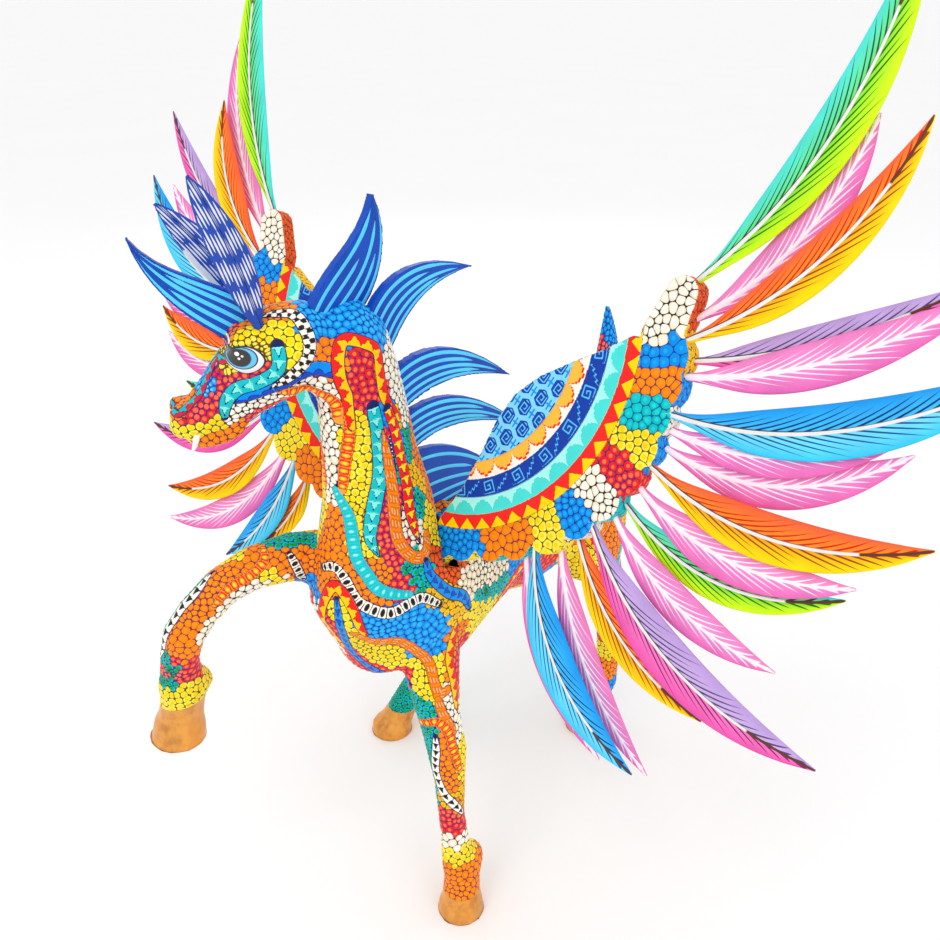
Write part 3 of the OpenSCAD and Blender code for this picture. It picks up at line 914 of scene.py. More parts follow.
# Each patch is its cells, chart, radius and places. Every point of the body belongs to
# the patch it is deepest in. Patches of the head, neck and barrel are on both sides.
PATCHES = [
    # head
    ("big_blue", "neck", 9, [(452, 60), (448, 110), (444, 150)]),
    ("orange", "head", 6, [(50, 20), (44, 22)]),
    ("orange", "head", 5, [(34, 26), (24, 27), (14, 26)]),
    ("big_blue", "head", 7, [(6, 26), (-4, 20), (-12, 15)]),
    ("big_orange", "head", 9, [(1, 10), (-3, 1), (-2, -4)]),
    ("big_yellow", "head", 6, [(46, 14), (35, 16), (24, 15), (16, 9), (16, 1)]),
    ("red", "head", 4, [(51, 13), (53, 10)]),
    ("sky", "head", 5, [(68, -12), (74, -17)]),
    ("orange", "head", 6, [(78, -20), (84, -24), (88, -28)]),
    ("yellow", "head", 7, [(88, -40), (82, -44), (74, -43), (66, -41)]),
    ("bead", "head", 2, [(52, 6), (55, 1), (55, -5), (52, -10), (46, 10), (38, 9)]),
    ("berry", "head", 3, [(60, -9), (67, -20), (74, -27)]),
    ("red", "head", 6, [(42, -12), (51, -13), (59, -18), (63, -26), (70, -31), (78, -35)]),
    ("orange", "head", 7, [(68, -53), (58, -50), (50, -46)]),
    ("white", "head", 5, [(57, -37), (50, -33), (42, -28), (33, -26), (24, -25), (12, -19),
                          (-1, -21)]),
    ("orange", "head", 5, [(20, -32), (8, -33), (-1, -42)]),
    ("red", "head", 6, [(40, -46), (28, -42), (16, -44)]),
    # neck
    ("big_orange", "neck", 10, [(440, 60), (432, 70)]),
    ("white", "neck", 7, [(440, 150), (420, 140), (400, 135), (385, 128)]),
    ("red", "neck", 11, [(430, 95), (415, 85), (400, 75), (392, 68)]),
    ("blue", "neck", 9, [(398, 92), (388, 105), (372, 115)]),
    ("yellow", "neck", 15, [(390, 45), (370, 42), (350, 35), (330, 30), (318, 32)]),
    ("red", "neck", 9, [(385, 80), (357, 72), (326, 62), (307, 65), (285, 58)]),
    ("gold", "neck", 8, [(380, 110), (360, 115), (345, 122)]),
    ("green", "neck", 7, [(342, 112), (328, 105)]),
    ("cream", "neck", 8, [(322, 82), (317, 92), (330, 80)]),
    ("white", "neck", 10, [(404, 10), (380, 4), (360, 0), (344, -2)]),
    ("orange", "near_neck", 12, [(335, 5), (312, 5), (297, 10), (290, 22), (282, 40)]),
    ("orange", "neck", 12, [(370, 150), (350, 150), (330, 150)]),
    ("yellow", "neck", 9, [(310, 135), (322, 118)]),
    ("red", "near_neck", 8, [(336, 56), (322, 52), (308, 52)]),
    ("green", "near_neck", 9, [(300, 68), (294, 76), (289, 86)]),
    ("gold", "neck", 8, [(392, 116), (384, 120)]),
    ("blue", "fore_right", 7, [(58, 76), (58, 92), (57, 108)]),
    ("white", "near_neck", 7, [(262, -16), (244, -12), (226, -4)]),
    ("big_blue", "near_neck", 9, [(267, 24), (259, 34)]),
    ("orange", "far_neck", 9, [(330, -12), (312, -16)]),
    ("gold", "far_neck", 9, [(300, -62), (318, -58)]),
    ("blue", "far_neck", 7, [(298, -23), (288, -25), (277, -22)]),
    ("red", "far_neck", 9, [(262, -20), (250, -28)]),
    ("yellow", "far_neck", 10, [(240, -50), (226, -40)]),
    ("orange", "far_neck", 10, [(218, -20), (206, -34)]),
    ("green", "far_neck", 9, [(256, -75), (240, -80)]),
    # breast and shoulder
    ("big_blue", "near_neck", 11, [(272, 35), (262, 50), (260, 66), (250, 74), (230, 64), (236, 54)]),
    ("yellow", "near_neck", 9, [(270, 15), (250, 15), (235, 20), (227, 35), (213, 45), (200, 50)]),
    ("red", "near_neck", 11, [(253, 0), (232, 0), (210, 10), (196, 20)]),
    ("orange", "near_neck", 9, [(230, 78), (212, 70), (198, 70)]),
    ("gold", "barrel", 10, [(-96, 72), (-86, 84), (-76, 100)]),
    ("rust", "barrel", 6, [(-88, 52), (-79, 58), (-62, 56)]),
    ("cream", "barrel", 11, [(-61, 76), (-49, 75), (-38, 86), (-24, 80)]),
    ("yellow", "barrel", 12, [(-60, 112), (-42, 124), (-30, 140)]),
    ("green", "barrel", 6, [(-52, 96), (-36, 102), (-22, 104)]),
    # barrel and rump
    ("blue", "barrel", 12, [(-66, 20), (-44, 26), (-26, 32)]),
    ("orange", "barrel", 13, [(-50, 6), (-20, 8), (10, 6)]),
    ("cream", "barrel", 9, [(-12, 60), (8, 58), (28, 60)]),
    ("blue", "barrel", 13, [(0, 90), (20, 94), (44, 92)]),
    ("red", "barrel", 11, [(-14, 146), (10, 136), (40, 130)]),
    ("yellow", "barrel", 14, [(0, 172), (40, 168), (80, 165)]),
    ("yellow", "barrel", 12, [(46, 62), (66, 58), (84, 48)]),
    ("red", "barrel", 11, [(44, 8), (70, 8), (96, 10)]),
    ("green", "barrel", 10, [(92, 62), (110, 66), (120, 78)]),
    ("orange", "barrel", 13, [(78, 102), (98, 100), (108, 116)]),
    ("cream", "barrel", 9, [(112, 40), (132, 40), (146, 34)]),
    ("blue", "barrel", 11, [(124, 10), (144, 12), (160, 16)]),
    ("red", "barrel", 11, [(134, 74), (148, 84), (154, 66)]),
    ("gold", "barrel", 10, [(140, 120), (156, 130), (160, 160)]),
    ("teal", "barrel", 10, [(100, 140), (118, 138), (128, 160)]),
    # near foreleg
    ("orange", "fore_left", 9, [(236, 100), (222, 106)]),
    ("red", "fore_left", 9, [(224, 108), (213, 112), (199, 124)]),
    ("yellow", "fore_left", 9, [(216, 40), (202, 40), (192, 30)]),
    ("red", "fore_left", 9, [(214, -10), (204, -30), (196, -60)]),
    ("blue", "fore_left", 10, [(200, -100), (184, -110)]),
    ("white", "fore_left", 7, [(199, 70), (186, 80), (172, 92), (158, 105)]),
    ("green", "fore_left", 8, [(194, 5), (187, 28), (180, 5)]),
    ("yellow", "fore_left", 9, [(150, 112), (138, 104), (128, 105)]),
    ("yellow", "fore_left", 9, [(170, -150), (150, -150)]),
    ("green", "fore_left", 8, [(159, 0), (148, -20), (128, -25), (106, -20)]),
    ("orange", "fore_left", 9, [(156, 48), (140, 48), (127, 32), (113, 62), (100, 70)]),
    ("red", "fore_left", 8, [(96, 15), (86, 55), (88, -30), (84, 120)]),
    ("gold", "fore_left", 8, [(110, 140), (118, -150), (100, 180)]),
    ("white", "fore_left", 6, ringed(71)),
    ("yellow", "fore_left", 6, ringed(57)),
    ("orange", "fore_left", 8, ringed(39)),
    # raised foreleg
    ("green", "fore_right", 10, [(50, 34), (60, 20), (66, 4)]),
    ("red", "fore_right", 8, [(38, 10), (34, -20)]),
    ("yellow", "fore_right", 8, [(24, -60), (20, 20)]),
    ("orange", "fore_right", 13, [(50, 80), (66, 70), (80, 20), (96, 26), (112, 30), (130, 30),
                                  (148, 40), (154, 76)]),
    ("orange", "fore_right", 10, [(80, -60), (100, -70), (120, -80)]),
    ("white", "fore_right", 8, [(78, 96), (92, 94), (106, 92), (120, 92), (134, 96), (144, 108)]),
    ("yellow", "fore_right", 10, [(76, 170), (104, -170), (130, -170)]),
    ("green", "fore_right", 7, [(110, -44), (134, -50), (152, -62)]),
    ("green", "fore_right", 8, [(160, -10), (168, 20), (176, 40), (180, -20)]),
    ("red", "fore_right", 8, [(157, 50), (160, 90), (172, 80), (178, 120), (166, 140)]),
    ("red", "fore_right", 8, [(170, -110), (176, 180)]),
    ("yellow", "fore_right", 9, [(191, 0), (191, 60), (190, 120), (192, 180), (192, -60),
                                 (192, -120), (204, 0), (204, 60), (204, -60)]),
    # near hind leg
    ("orange", "hind_left", 13, [(236, 60), (222, 84), (206, 74)]),
    ("yellow", "hind_left", 13, [(214, 20), (196, 24), (180, 40)]),
    ("red", "hind_left", 11, [(214, 140), (194, 140), (176, 130)]),
    ("blue", "hind_left", 11, [(200, -60), (184, -70), (190, -110)]),
    ("cream", "hind_left", 9, [(178, 84), (164, 70), (154, 90)]),
    ("green", "hind_left", 11, [(160, 10), (144, 30), (136, 90), (146, -40)]),
    ("green", "hind_left", 11, [(152, 150), (142, -140)]),
    ("red", "hind_left", 9, [(108, 0), (108, 60), (106, 120), (106, 180), (108, -60), (108, -120)]),
    ("yellow", "hind_left", 9, [(86, 0), (88, 60), (86, 120), (86, 180), (86, -60), (86, -120)]),
    ("orange", "hind_left", 8, [(66, 0), (64, 60), (66, 120), (66, 180), (66, -60), (66, -120)]),
    ("blue", "hind_left", 9, ringed(42)),
    # far hind leg
    ("orange", "hind_right", 13, [(236, -60), (222, -84), (206, -74)]),
    ("yellow", "hind_right", 13, [(214, -20), (196, -24), (180, -40)]),
    ("red", "hind_right", 11, [(214, -140), (194, -140), (176, -130)]),
    ("blue", "hind_right", 11, [(200, 60), (184, 70), (190, 110)]),
    ("cream", "hind_right", 9, [(168, -60), (156, -90), (150, 20)]),
    ("orange", "hind_right", 11, [(146, -10), (138, 60), (142, 120)]),
    ("red", "hind_right", 11, [(140, -130), (136, 180)]),
    ("green", "hind_right", 13, ringed(104, (0, 80, 160, -120))),
    ("teal", "hind_right", 12, ringed(78, (0, 80, 160, -120))),
    ("green", "hind_right", 12, ringed(46, (0, 80, 160, -120))),
]
MIRRORED = ("head", "neck", "barrel")


def laid_out(chart, points):
    """The places, and for a part of the middle body their mirror image too."""
    yield points
    if chart in MIRRORED:
        yield [mirrored(chart, p) for p in points]


def to_line(p, line):
    """Each point's nearest sample of a line, as its row number and its distance."""
    best, row = np.full(len(p), 1e9), np.zeros(len(p), int)
    for k, q in enumerate(line):
        d = ((p - q) ** 2).sum(1)
        closer = d < best
        best[closer] = d[closer]
        row[closer] = k
    return row, np.sqrt(best)


def patch_fields(p):
    """The patch each point belongs to."""
    depth, owner = np.full(len(p), 1e9), np.zeros(len(p), int)
    for number, (_, chart, radius, points) in enumerate(PATCHES):
        for places in laid_out(chart, points):
            line = route(chart, places, 4.0)[0]
            near = np.linalg.norm(p - line.mean(0), axis=1) < 90 + radius
            distance = np.full(len(p), 1e9)
            distance[near] = to_line(p[near], line)[1] - radius
            better = distance < depth
            depth[better] = distance[better]
            owner[better] = number
    return owner


def area_at(points, faces):
    """The area each point stands for."""
    rows = np.asarray(faces)
    last = np.where(rows[:, 3] < 0, rows[:, 0], rows[:, 3])
    across = np.cross(points[rows[:, 2]] - points[rows[:, 0]], points[last] - points[rows[:, 1]])
    share = np.linalg.norm(across, axis=1) / 8
    out = np.zeros(len(points))
    for k in range(4):
        has = rows[:, k] >= 0
        out += np.bincount(rows[has, k], share[has], len(points))
    return out


def kd_of(points):
    """A search tree of these points."""
    tree = KDTree(len(points))
    for k, q in enumerate(points.tolist()):
        tree.insert(q, k)
    tree.balance()
    return tree


def cell_fields(p, seeds):
    """For each point its cell, and its distances from the cell's border and its seed."""
    tree = kd_of(seeds)
    found = [tree.find_n(q, 4) for q in p.tolist()]
    index = np.array([[f[1] for f in row] for row in found])
    distance = np.array([[f[2] for f in row] for row in found])
    owner = index[:, 0]
    gap = np.linalg.norm(seeds[index[:, 1:]] - seeds[index[:, :1]], axis=2)
    sides = (distance[:, 1:] ** 2 - distance[:, :1] ** 2) / (2 * np.maximum(gap, 0.5))
    border = -ROUND * np.log(np.exp(-sides / ROUND).sum(1))
    return owner, border, distance[:, 0]


def varied(colours, amount=0.07):
    """Each row of colours, a little lighter or darker at random."""
    shift = 1 + amount * rng.uniform(-1, 1, (len(colours), 1))
    return np.clip(colours * shift, 0, 1)


def paint_cells(paint, p, seeds, kinds, take=slice(None)):
    """Colours the taken points by their cells. kinds names each seed's cells."""
    owner, border, centre = cell_fields(p[take], seeds)
    names = sorted(CELLS)
    rows = [CELLS[k] for k in names]
    kind = np.array([names.index(k) for k in kinds])
    ring = varied(np.array([r[0] for r in rows])[kind])[owner]
    middle = varied(np.array([r[1] for r in rows])[kind])[owner]
    outline = np.array([r[2] for r in rows])[kind][owner]
    share = (np.array([r[3] for r in rows])[kind] * rng.uniform(0.85, 1.12, len(kind)))[owner]
    pitch = np.array([r[4] for r in rows])[kind][owner]
    mark = share * pitch / 2 - centre
    paint.tone[take], paint.mark[take], paint.edge[take] = ring, middle, outline
    paint.mark_d[take] = mark
    paint.edge_d[take] = border - THIN
    paint.height[take] = 0.42 * dome(border / 1.7) + 0.10 * dome(mark / 0.8) - 0.22


def dome(x):
    """A rise from 0 at 0 to 1 at 1 that levels off."""
    x = np.clip(x, 0, 1)
    return x * (2 - x)


def paint_band(paint, p, normal, band):
    """Paints one band over the cells, and an outline along both of its sides."""
    name, chart, width, taper, points = band
    for places in laid_out(chart, points):
        line, heading, out = route(chart, places, 0.9)
        step = np.linalg.norm(np.diff(line, axis=0), axis=1)
        walk = np.concatenate([[0], np.cumsum(step)])
        reach = width + 1.5
        low, high = line.min(0) - reach, line.max(0) + reach
        near = np.flatnonzero(((p > low) & (p < high)).all(1))
        row, distance = to_line(p[near], line)
        keep = (distance < reach) & ((normal[near] * out[row]).sum(1) > 0.05)
        near, row, distance = near[keep], row[keep], distance[keep]
        offset = p[near] - line[row]
        along = (offset * heading[row]).sum(1)
        aside = np.cross(out[row], heading[row])
        middle = (row > 0) & (row < len(line) - 1)
        gone = np.where(middle, along, 0.0)
        across = np.linalg.norm(offset - gone[:, None] * heading[row], axis=1)
        t = np.where((offset * aside).sum(1) < 0, -across, across)
        s = walk[row] + gone
        x = 2 * s / walk[-1] - 1
        ends = taper if isinstance(taper, tuple) else (taper, taper)
        w = width * (1 - np.where(x < 0, ends[0], ends[1]) * np.abs(x) ** 4)
        flip = -1 if places is not points else 1
        tone, mark, edge, mark_d, edge_d = BAND[name](s, t * flip, w, walk[-1])
        rim = w - across - LINE
        inside = across < w
        put = near[inside]
        paint.tone[put] = tone
        paint.mark[put] = mark
        paint.edge[put] = edge
        line_d = np.full(len(w), 9.0) if name == "white" else np.abs(mark_d) - 0.3
        paint.mark_d[put] = mark_d[inside]
        paint.edge_d[put] = np.minimum(np.minimum(rim, line_d), edge_d)[inside]
        paint.height[put] = (0.42 * dome((w - across) / 1.3) - 0.16
                             + 0.1 * dome(mark_d / 0.6))[inside]
        outside = near[~inside]
        gap = (across - w)[~inside]
        paint.edge_d[outside] = np.minimum(paint.edge_d[outside], gap - LINE)
        paint.height[outside] = np.where(gap < 1.2, np.minimum(
            paint.height[outside], -0.22 + 0.4 * dome(gap / 1.4)), paint.height[outside])


# ---- pieces -------------------------------------------------------------------------
def put_paint(mesh, paint, pick=None):
    """Writes the paint onto a mesh's points."""
    for name in ("tone", "mark", "edge", "mark_d", "edge_d"):
        values = getattr(paint, name)
        values = values if pick is None else values[pick]
        if values.ndim == 2:
            made = mesh.attributes.new(name, "FLOAT_COLOR", "POINT")
            made.data.foreach_set("color", np.column_stack([values, np.ones(len(values))]).ravel())
        else:
            made = mesh.attributes.new(name, "FLOAT", "POINT")
            made.data.foreach_set("value", values.astype(np.float32))


def capped(points, faces, take):
    """The chosen faces as a closed solid: every opening is closed with a fan.
    Returns its points, its faces, which of the old points each new point is, and how many
    of the faces are skin."""
    rows = faces[take]
    used = np.unique(rows[rows >= 0])
    number = np.full(len(points), -1)
    number[used] = np.arange(len(used))
    rows = np.where(rows >= 0, number[rows], -1)
    pairs = sides_of(rows)
    code = pairs[:, 0] * len(used) + pairs[:, 1]
    back = pairs[:, 1] * len(used) + pairs[:, 0]
    open_pairs = pairs[~np.isin(code, back)]
    group = {}

    def root(a):
        while group.setdefault(a, a) != a:
            a = group[a]
        return a

    for a, b in open_pairs:
        group[root(a)] = root(b)
    loops = {}
    for a, b in open_pairs:
        loops.setdefault(root(a), []).append((a, b))
    new_points, fans, source = [points[used]], [], list(used)
    for pairs_here in loops.values():
        ring = np.array(pairs_here)
        middle = len(source)
        source.append(used[ring[0, 0]])
        new_points.append(points[used[ring[:, 0]]].mean(0)[None])
        fans.append(np.column_stack([ring[:, 1], ring[:, 0], np.full(len(ring), middle),
                                     np.full(len(ring), -1)]))
    return (np.concatenate(new_points), np.concatenate([rows] + fans), np.array(source),
            len(rows))


def box_solid(middle, axes, halves):
    """A box about a middle, and a test for what is inside it."""
    corners = np.array([[x, y, z] for z in (-1, 1) for y in (-1, 1) for x in (-1, 1)])
    points = middle + (corners * halves) @ np.asarray(axes)
    faces = np.array([[0, 2, 3, 1], [4, 5, 7, 6], [0, 1, 5, 4], [2, 6, 7, 3], [0, 4, 6, 2],
                      [1, 3, 7, 5]])

    def holds(p):
        return (np.abs((p - middle) @ np.asarray(axes).T) < np.array(halves) + 0.02).all(1)
    return points, faces, holds


def rod_solid(start, end, radius):
    """A straight rod, and a test for what is inside it."""
    points, faces = rod(start, end, radius, radius, 32)
    axis = unit(end - start)

    def holds(p):
        along = (p - start) @ axis
        away = np.linalg.norm(p - start - along[:, None] * axis, axis=1)
        return (away < radius + 0.02) & (along > -0.02)
    return points, faces, holds


def wing_axes(side):
    """A wing frame's root, and its outward, upward and forward directions as rows."""
    s = SIDE[side]
    turn = math.radians(5.0 if side == "left" else 8.5)
    lean = math.radians(20.0)
    root = np.array([34.0 * s, -72.0, 292.0 if side == "left" else 287.0])
    across = np.array([math.cos(turn) * s, -math.sin(turn), 0])
    up = np.array([math.sin(lean) * math.sin(turn) * s, math.sin(lean) * math.cos(turn),
                   math.cos(lean)])
    front = np.array([-math.cos(lean) * math.sin(turn) * s,
                      -math.cos(lean) * math.cos(turn), math.sin(lean)])
    return root, np.array([across, up, front])


EAR_PEG = (3.0, 12.2)           # radius and length
TAIL_PEG = (5.0, 16.5)
EAR_BORE, TAIL_BORE = 3.1, 5.1  # radii
TENON = (8.0, 4.0)              # half-width and half-thickness
MORTISE = (8.3, 25.3, 4.3)      # half its width, depth and thickness
PLATE_SLOT = (35, 45, 6.6)      # half-sizes of the cut that a wing plate's inner end is in


def sockets():
    """What is cut out of each piece of the body: points, faces and a test of inside."""
    cuts = {"head": [], "chest": [], "barrel": []}
    for side in SIDE:
        end, axis = peg_of("ear_" + side, "ear_" + side)
        cuts["head"].append(rod_solid(end - axis, end + axis * 40, EAR_BORE))
        end, axis = peg_of("wing_plate_" + side, "wing_" + side)
        root, axes = wing_axes(side)
        width = np.cross(axis, axes[2])
        cuts["chest"].append(box_solid(end + axis * 25, (width, axis, axes[2]), MORTISE))
        middle = root + axes[0] * 15 + axes[1] * 36
        cuts["chest"].append(box_solid(middle, axes, PLATE_SLOT))
    end, axis = peg_of("tail", "tail")
    cuts["barrel"].append(rod_solid(end - axis, end + axis * 60, TAIL_BORE))
    return cuts


LEG_TOP = 178       # where a standing leg's piece ends
BODY_PIECES = ("head", "chest", "barrel", "fore_left", "fore_right", "hind_left", "hind_right")


def part_of(centre):
    """Which piece of the body each face belongs to."""
    f, u, _ = in_head(centre)
    x, y, z = centre.T
    names = np.full(len(centre), "barrel", dtype="U12")
    names[y < -30] = "chest"
    names[z < LEG_TOP] = "fore_left"
    names[(z < LEG_TOP) & (y > 0) & (x > 0)] = "hind_left"
    names[(z < LEG_TOP) & (y > -40) & (x < 0)] = "hind_right"
    names[(y < -152) & (z < 335)] = "fore_right"
    names[(z > 375) & ((f + 12) * 0.87 + (u - 20) * 0.49 > 0)] = "head"
    return names


def build_body():
    """The carved body in seven closed pieces, with its cells, bands, hooves and sockets."""
    points, faces = remeshed(*body_clay(), CLAY_VOXEL)
    points = relaxed(points, faces, 8)
    mid, mid_faces = subdivided(points, faces, 1)
    global body_tree
    body_tree = BVHTree.FromPolygons(mid.tolist(), [[k for k in r if k >= 0]
                                                    for r in mid_faces.tolist()])
    owner = patch_fields(mid)
    kinds = np.array([PATCHES[k][0] for k in owner])
    pitch = np.array([CELLS[k][4] for k in kinds])
    seeds = scattered_on(mid, pitch, area_at(mid, mid_faces), 8)
    p, faces = subdivided(mid, mid_faces, 1)
    normal = normals_of(p, faces)
    paint = Paint(len(p))
    paint_cells(paint, p, mid[seeds], kinds[seeds])
    for band in BANDS:
        paint_band(paint, p, normal, band)
    hoof = (p[:, 2] < 20 + 4 * np.clip((p[:, 1] + 100) / 20, 0, 1)) & (p[:, 2] < 40)
    leg = (p - HOOF_SOLE) @ -HOOF_CUT
    hoof |= at_raised_hoof(p, 215) & (leg < 33 + (p - HOOF_SOLE) @ [0.26, 0.20, 0.0])
    paint.height[hoof] = 0
    p = p + normal * paint.height[:, None]
    past = below_floor(p)
    low = past > 0
    raised_low = low & at_raised_hoof(p)
    floor_low = low & ~raised_low
    p[raised_low] -= past[raised_low, None] * HOOF_CUT
    p[floor_low, 2] = 0
    centre = p[faces[:, :3]].mean(1)
    names = part_of(centre)
    cuts = sockets()
    for name in BODY_PIECES:
        pts, rows, source, count = capped(p, faces, names == name)
        inside = np.arange(len(rows)) >= count
        if cuts.get(name):
            cutters = [object_from("cutter", mesh_from("cutter", c[0], c[1]))
                       for c in cuts[name]]
            tree = kd_of(pts)
            pts, rows = carved(pts, rows, cutters)
            source = source[np.array([tree.find(q)[1] for q in pts.tolist()])]
            middle = pts[rows[:, :3]].mean(1)
            inside = np.zeros(len(rows), bool)
            for _, _, holds in cuts[name]:
                inside |= holds(middle)
        mesh = mesh_from(name, pts, rows)
        put_paint(mesh, paint, source)
        for material in (BODY_SKIN, GOLD_PAINT, WOOD):
            mesh.materials.append(material)
        middle = pts[rows[:, :3]].mean(1)
        in_hoof = hoof[source[rows[:, :3]]].all(1)
        index = np.where(inside, 2, np.where(in_hoof, 1, 0))
        mesh.polygons.foreach_set("material_index", index.astype(np.int32))
        mesh.polygons.foreach_set("use_smooth", ~inside)
        piece = object_from("body_" + name, mesh)
        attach(piece, "root")
        yield piece


def clay_piece(shapes, voxel, rounds):
    """Shapes run together, smoothed and made fine: points and faces."""
    points, faces = remeshed(*joined(shapes), voxel)
    points = relaxed(points, faces, rounds)
    return subdivided(points, faces, 1)


def fitted_peg(p, end, axis, radius, length):
    """Brings the points of a peg to its exact round. Returns them and which they are."""
    along = (p - end) @ axis
    away = p - end - along[:, None] * axis
    r = np.linalg.norm(away, axis=1)
    peg = (along < length) & (r < radius + 2.5)
    p = p.copy()
    side = peg & (r > radius * 0.72)
    p[side] = end + along[side, None] * axis + unit(away[side]) * radius
    low = peg & (along < 0.9)
    p[low] -= np.minimum((p[low] - end) @ axis, 0.9)[:, None] * axis
    return p, peg


def finished(name, p, faces, paint, material, body, nodes_there, bare=None):
    """Makes a piece of points and faces: painted, on its body, in place of its nodes."""
    mesh = mesh_from(name, p, faces)
    put_paint(mesh, paint)
    mesh.materials.append(material)
    if bare is not None:
        mesh.materials.append(WOOD)
        index = bare[faces[:, :3]].all(1)
        mesh.polygons.foreach_set("material_index", index.astype(np.int32))
    piece = object_from(name, mesh)
    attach(piece, body)
    for node in nodes_there:
        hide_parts(node)
    return piece


# ---- feathers ---------------------------------------------------------------------------
# Each side of a blade runs from one colour at the midrib to another at its edge, with
# barbs of a third: first the upper side, then the lower side.
FEATHER = {
    "feather_green": ((tint(112, 222, 62), tint(72, 226, 222), tint(8, 84, 62)),
                      (tint(92, 214, 44), tint(214, 255, 12), tint(22, 104, 8))),
    "feather_pink": ((tint(240, 150, 208), tint(234, 122, 190), tint(255, 240, 248)),
                     (tint(240, 140, 204), tint(232, 104, 180), tint(255, 232, 244))),
    "feather_orange": ((tint(255, 146, 20), tint(255, 92, 56), tint(214, 34, 8)),
                       (tint(246, 150, 10), tint(255, 222, 0), tint(150, 66, 8))),
    "feather_lilac": ((tint(206, 180, 228), tint(182, 148, 214), tint(84, 62, 120)),
                      (tint(244, 128, 198), tint(236, 78, 168), tint(140, 30, 96))),
    "feather_blue": ((tint(70, 194, 250), tint(16, 150, 238), tint(8, 50, 110)),
                     (tint(130, 226, 255), tint(50, 200, 250), tint(8, 84, 150))),
}
FEATHER_SLOTS = {1: "green", 3: "orange", 4: "lilac", 6: "blue", 9: "orange", 11: "green",
                 13: "lilac", 14: "orange", 16: "blue"}
FAN_AT = np.array([-22.0, 146.0])   # the feathers fan out, and the plate's bands run, round this
BARB = 8.6          # barbs' distance along the midrib
SLANT = 3.8         # how far a barb runs along for each step aside
BARB_ROWS = 8       # rings of the blade from one barb to the next


def blade_rings(node, root, axes):
    """The CAD blade's rings from its foot to its tip, in the wing's frame: centres,
    half-widths and half-thicknesses."""
    points, faces = welded(node)
    local = (points - root) @ axes.T
    links = {}
    for corners in faces:
        for a in corners:
            links.setdefault(a, set()).update(corners)
    tip = np.argmax(np.hypot(local[:, 0] - FAN_AT[0], local[:, 1] - FAN_AT[1]))
    ring = set(np.argsort(np.linalg.norm(local - local[tip], axis=1))[:8].tolist())
    seen, rings = set(ring), [ring]
    while True:
        after = set().union(*(links[a] for a in ring)) - seen
        if not after:
            break
        rings.append(after)
        seen |= after
        ring = after
    rings = rings[::-1]
    centre = np.array([local[list(r)].mean(0) for r in rings])
    wide = np.array([np.hypot(*(local[list(r)] - c)[:, :2].T).max()
                     for r, c in zip(rings, centre)])
    thick = np.array([np.ptp(local[list(r)][:, 2]) / 2 for r in rings])
    return centre, wide, thick


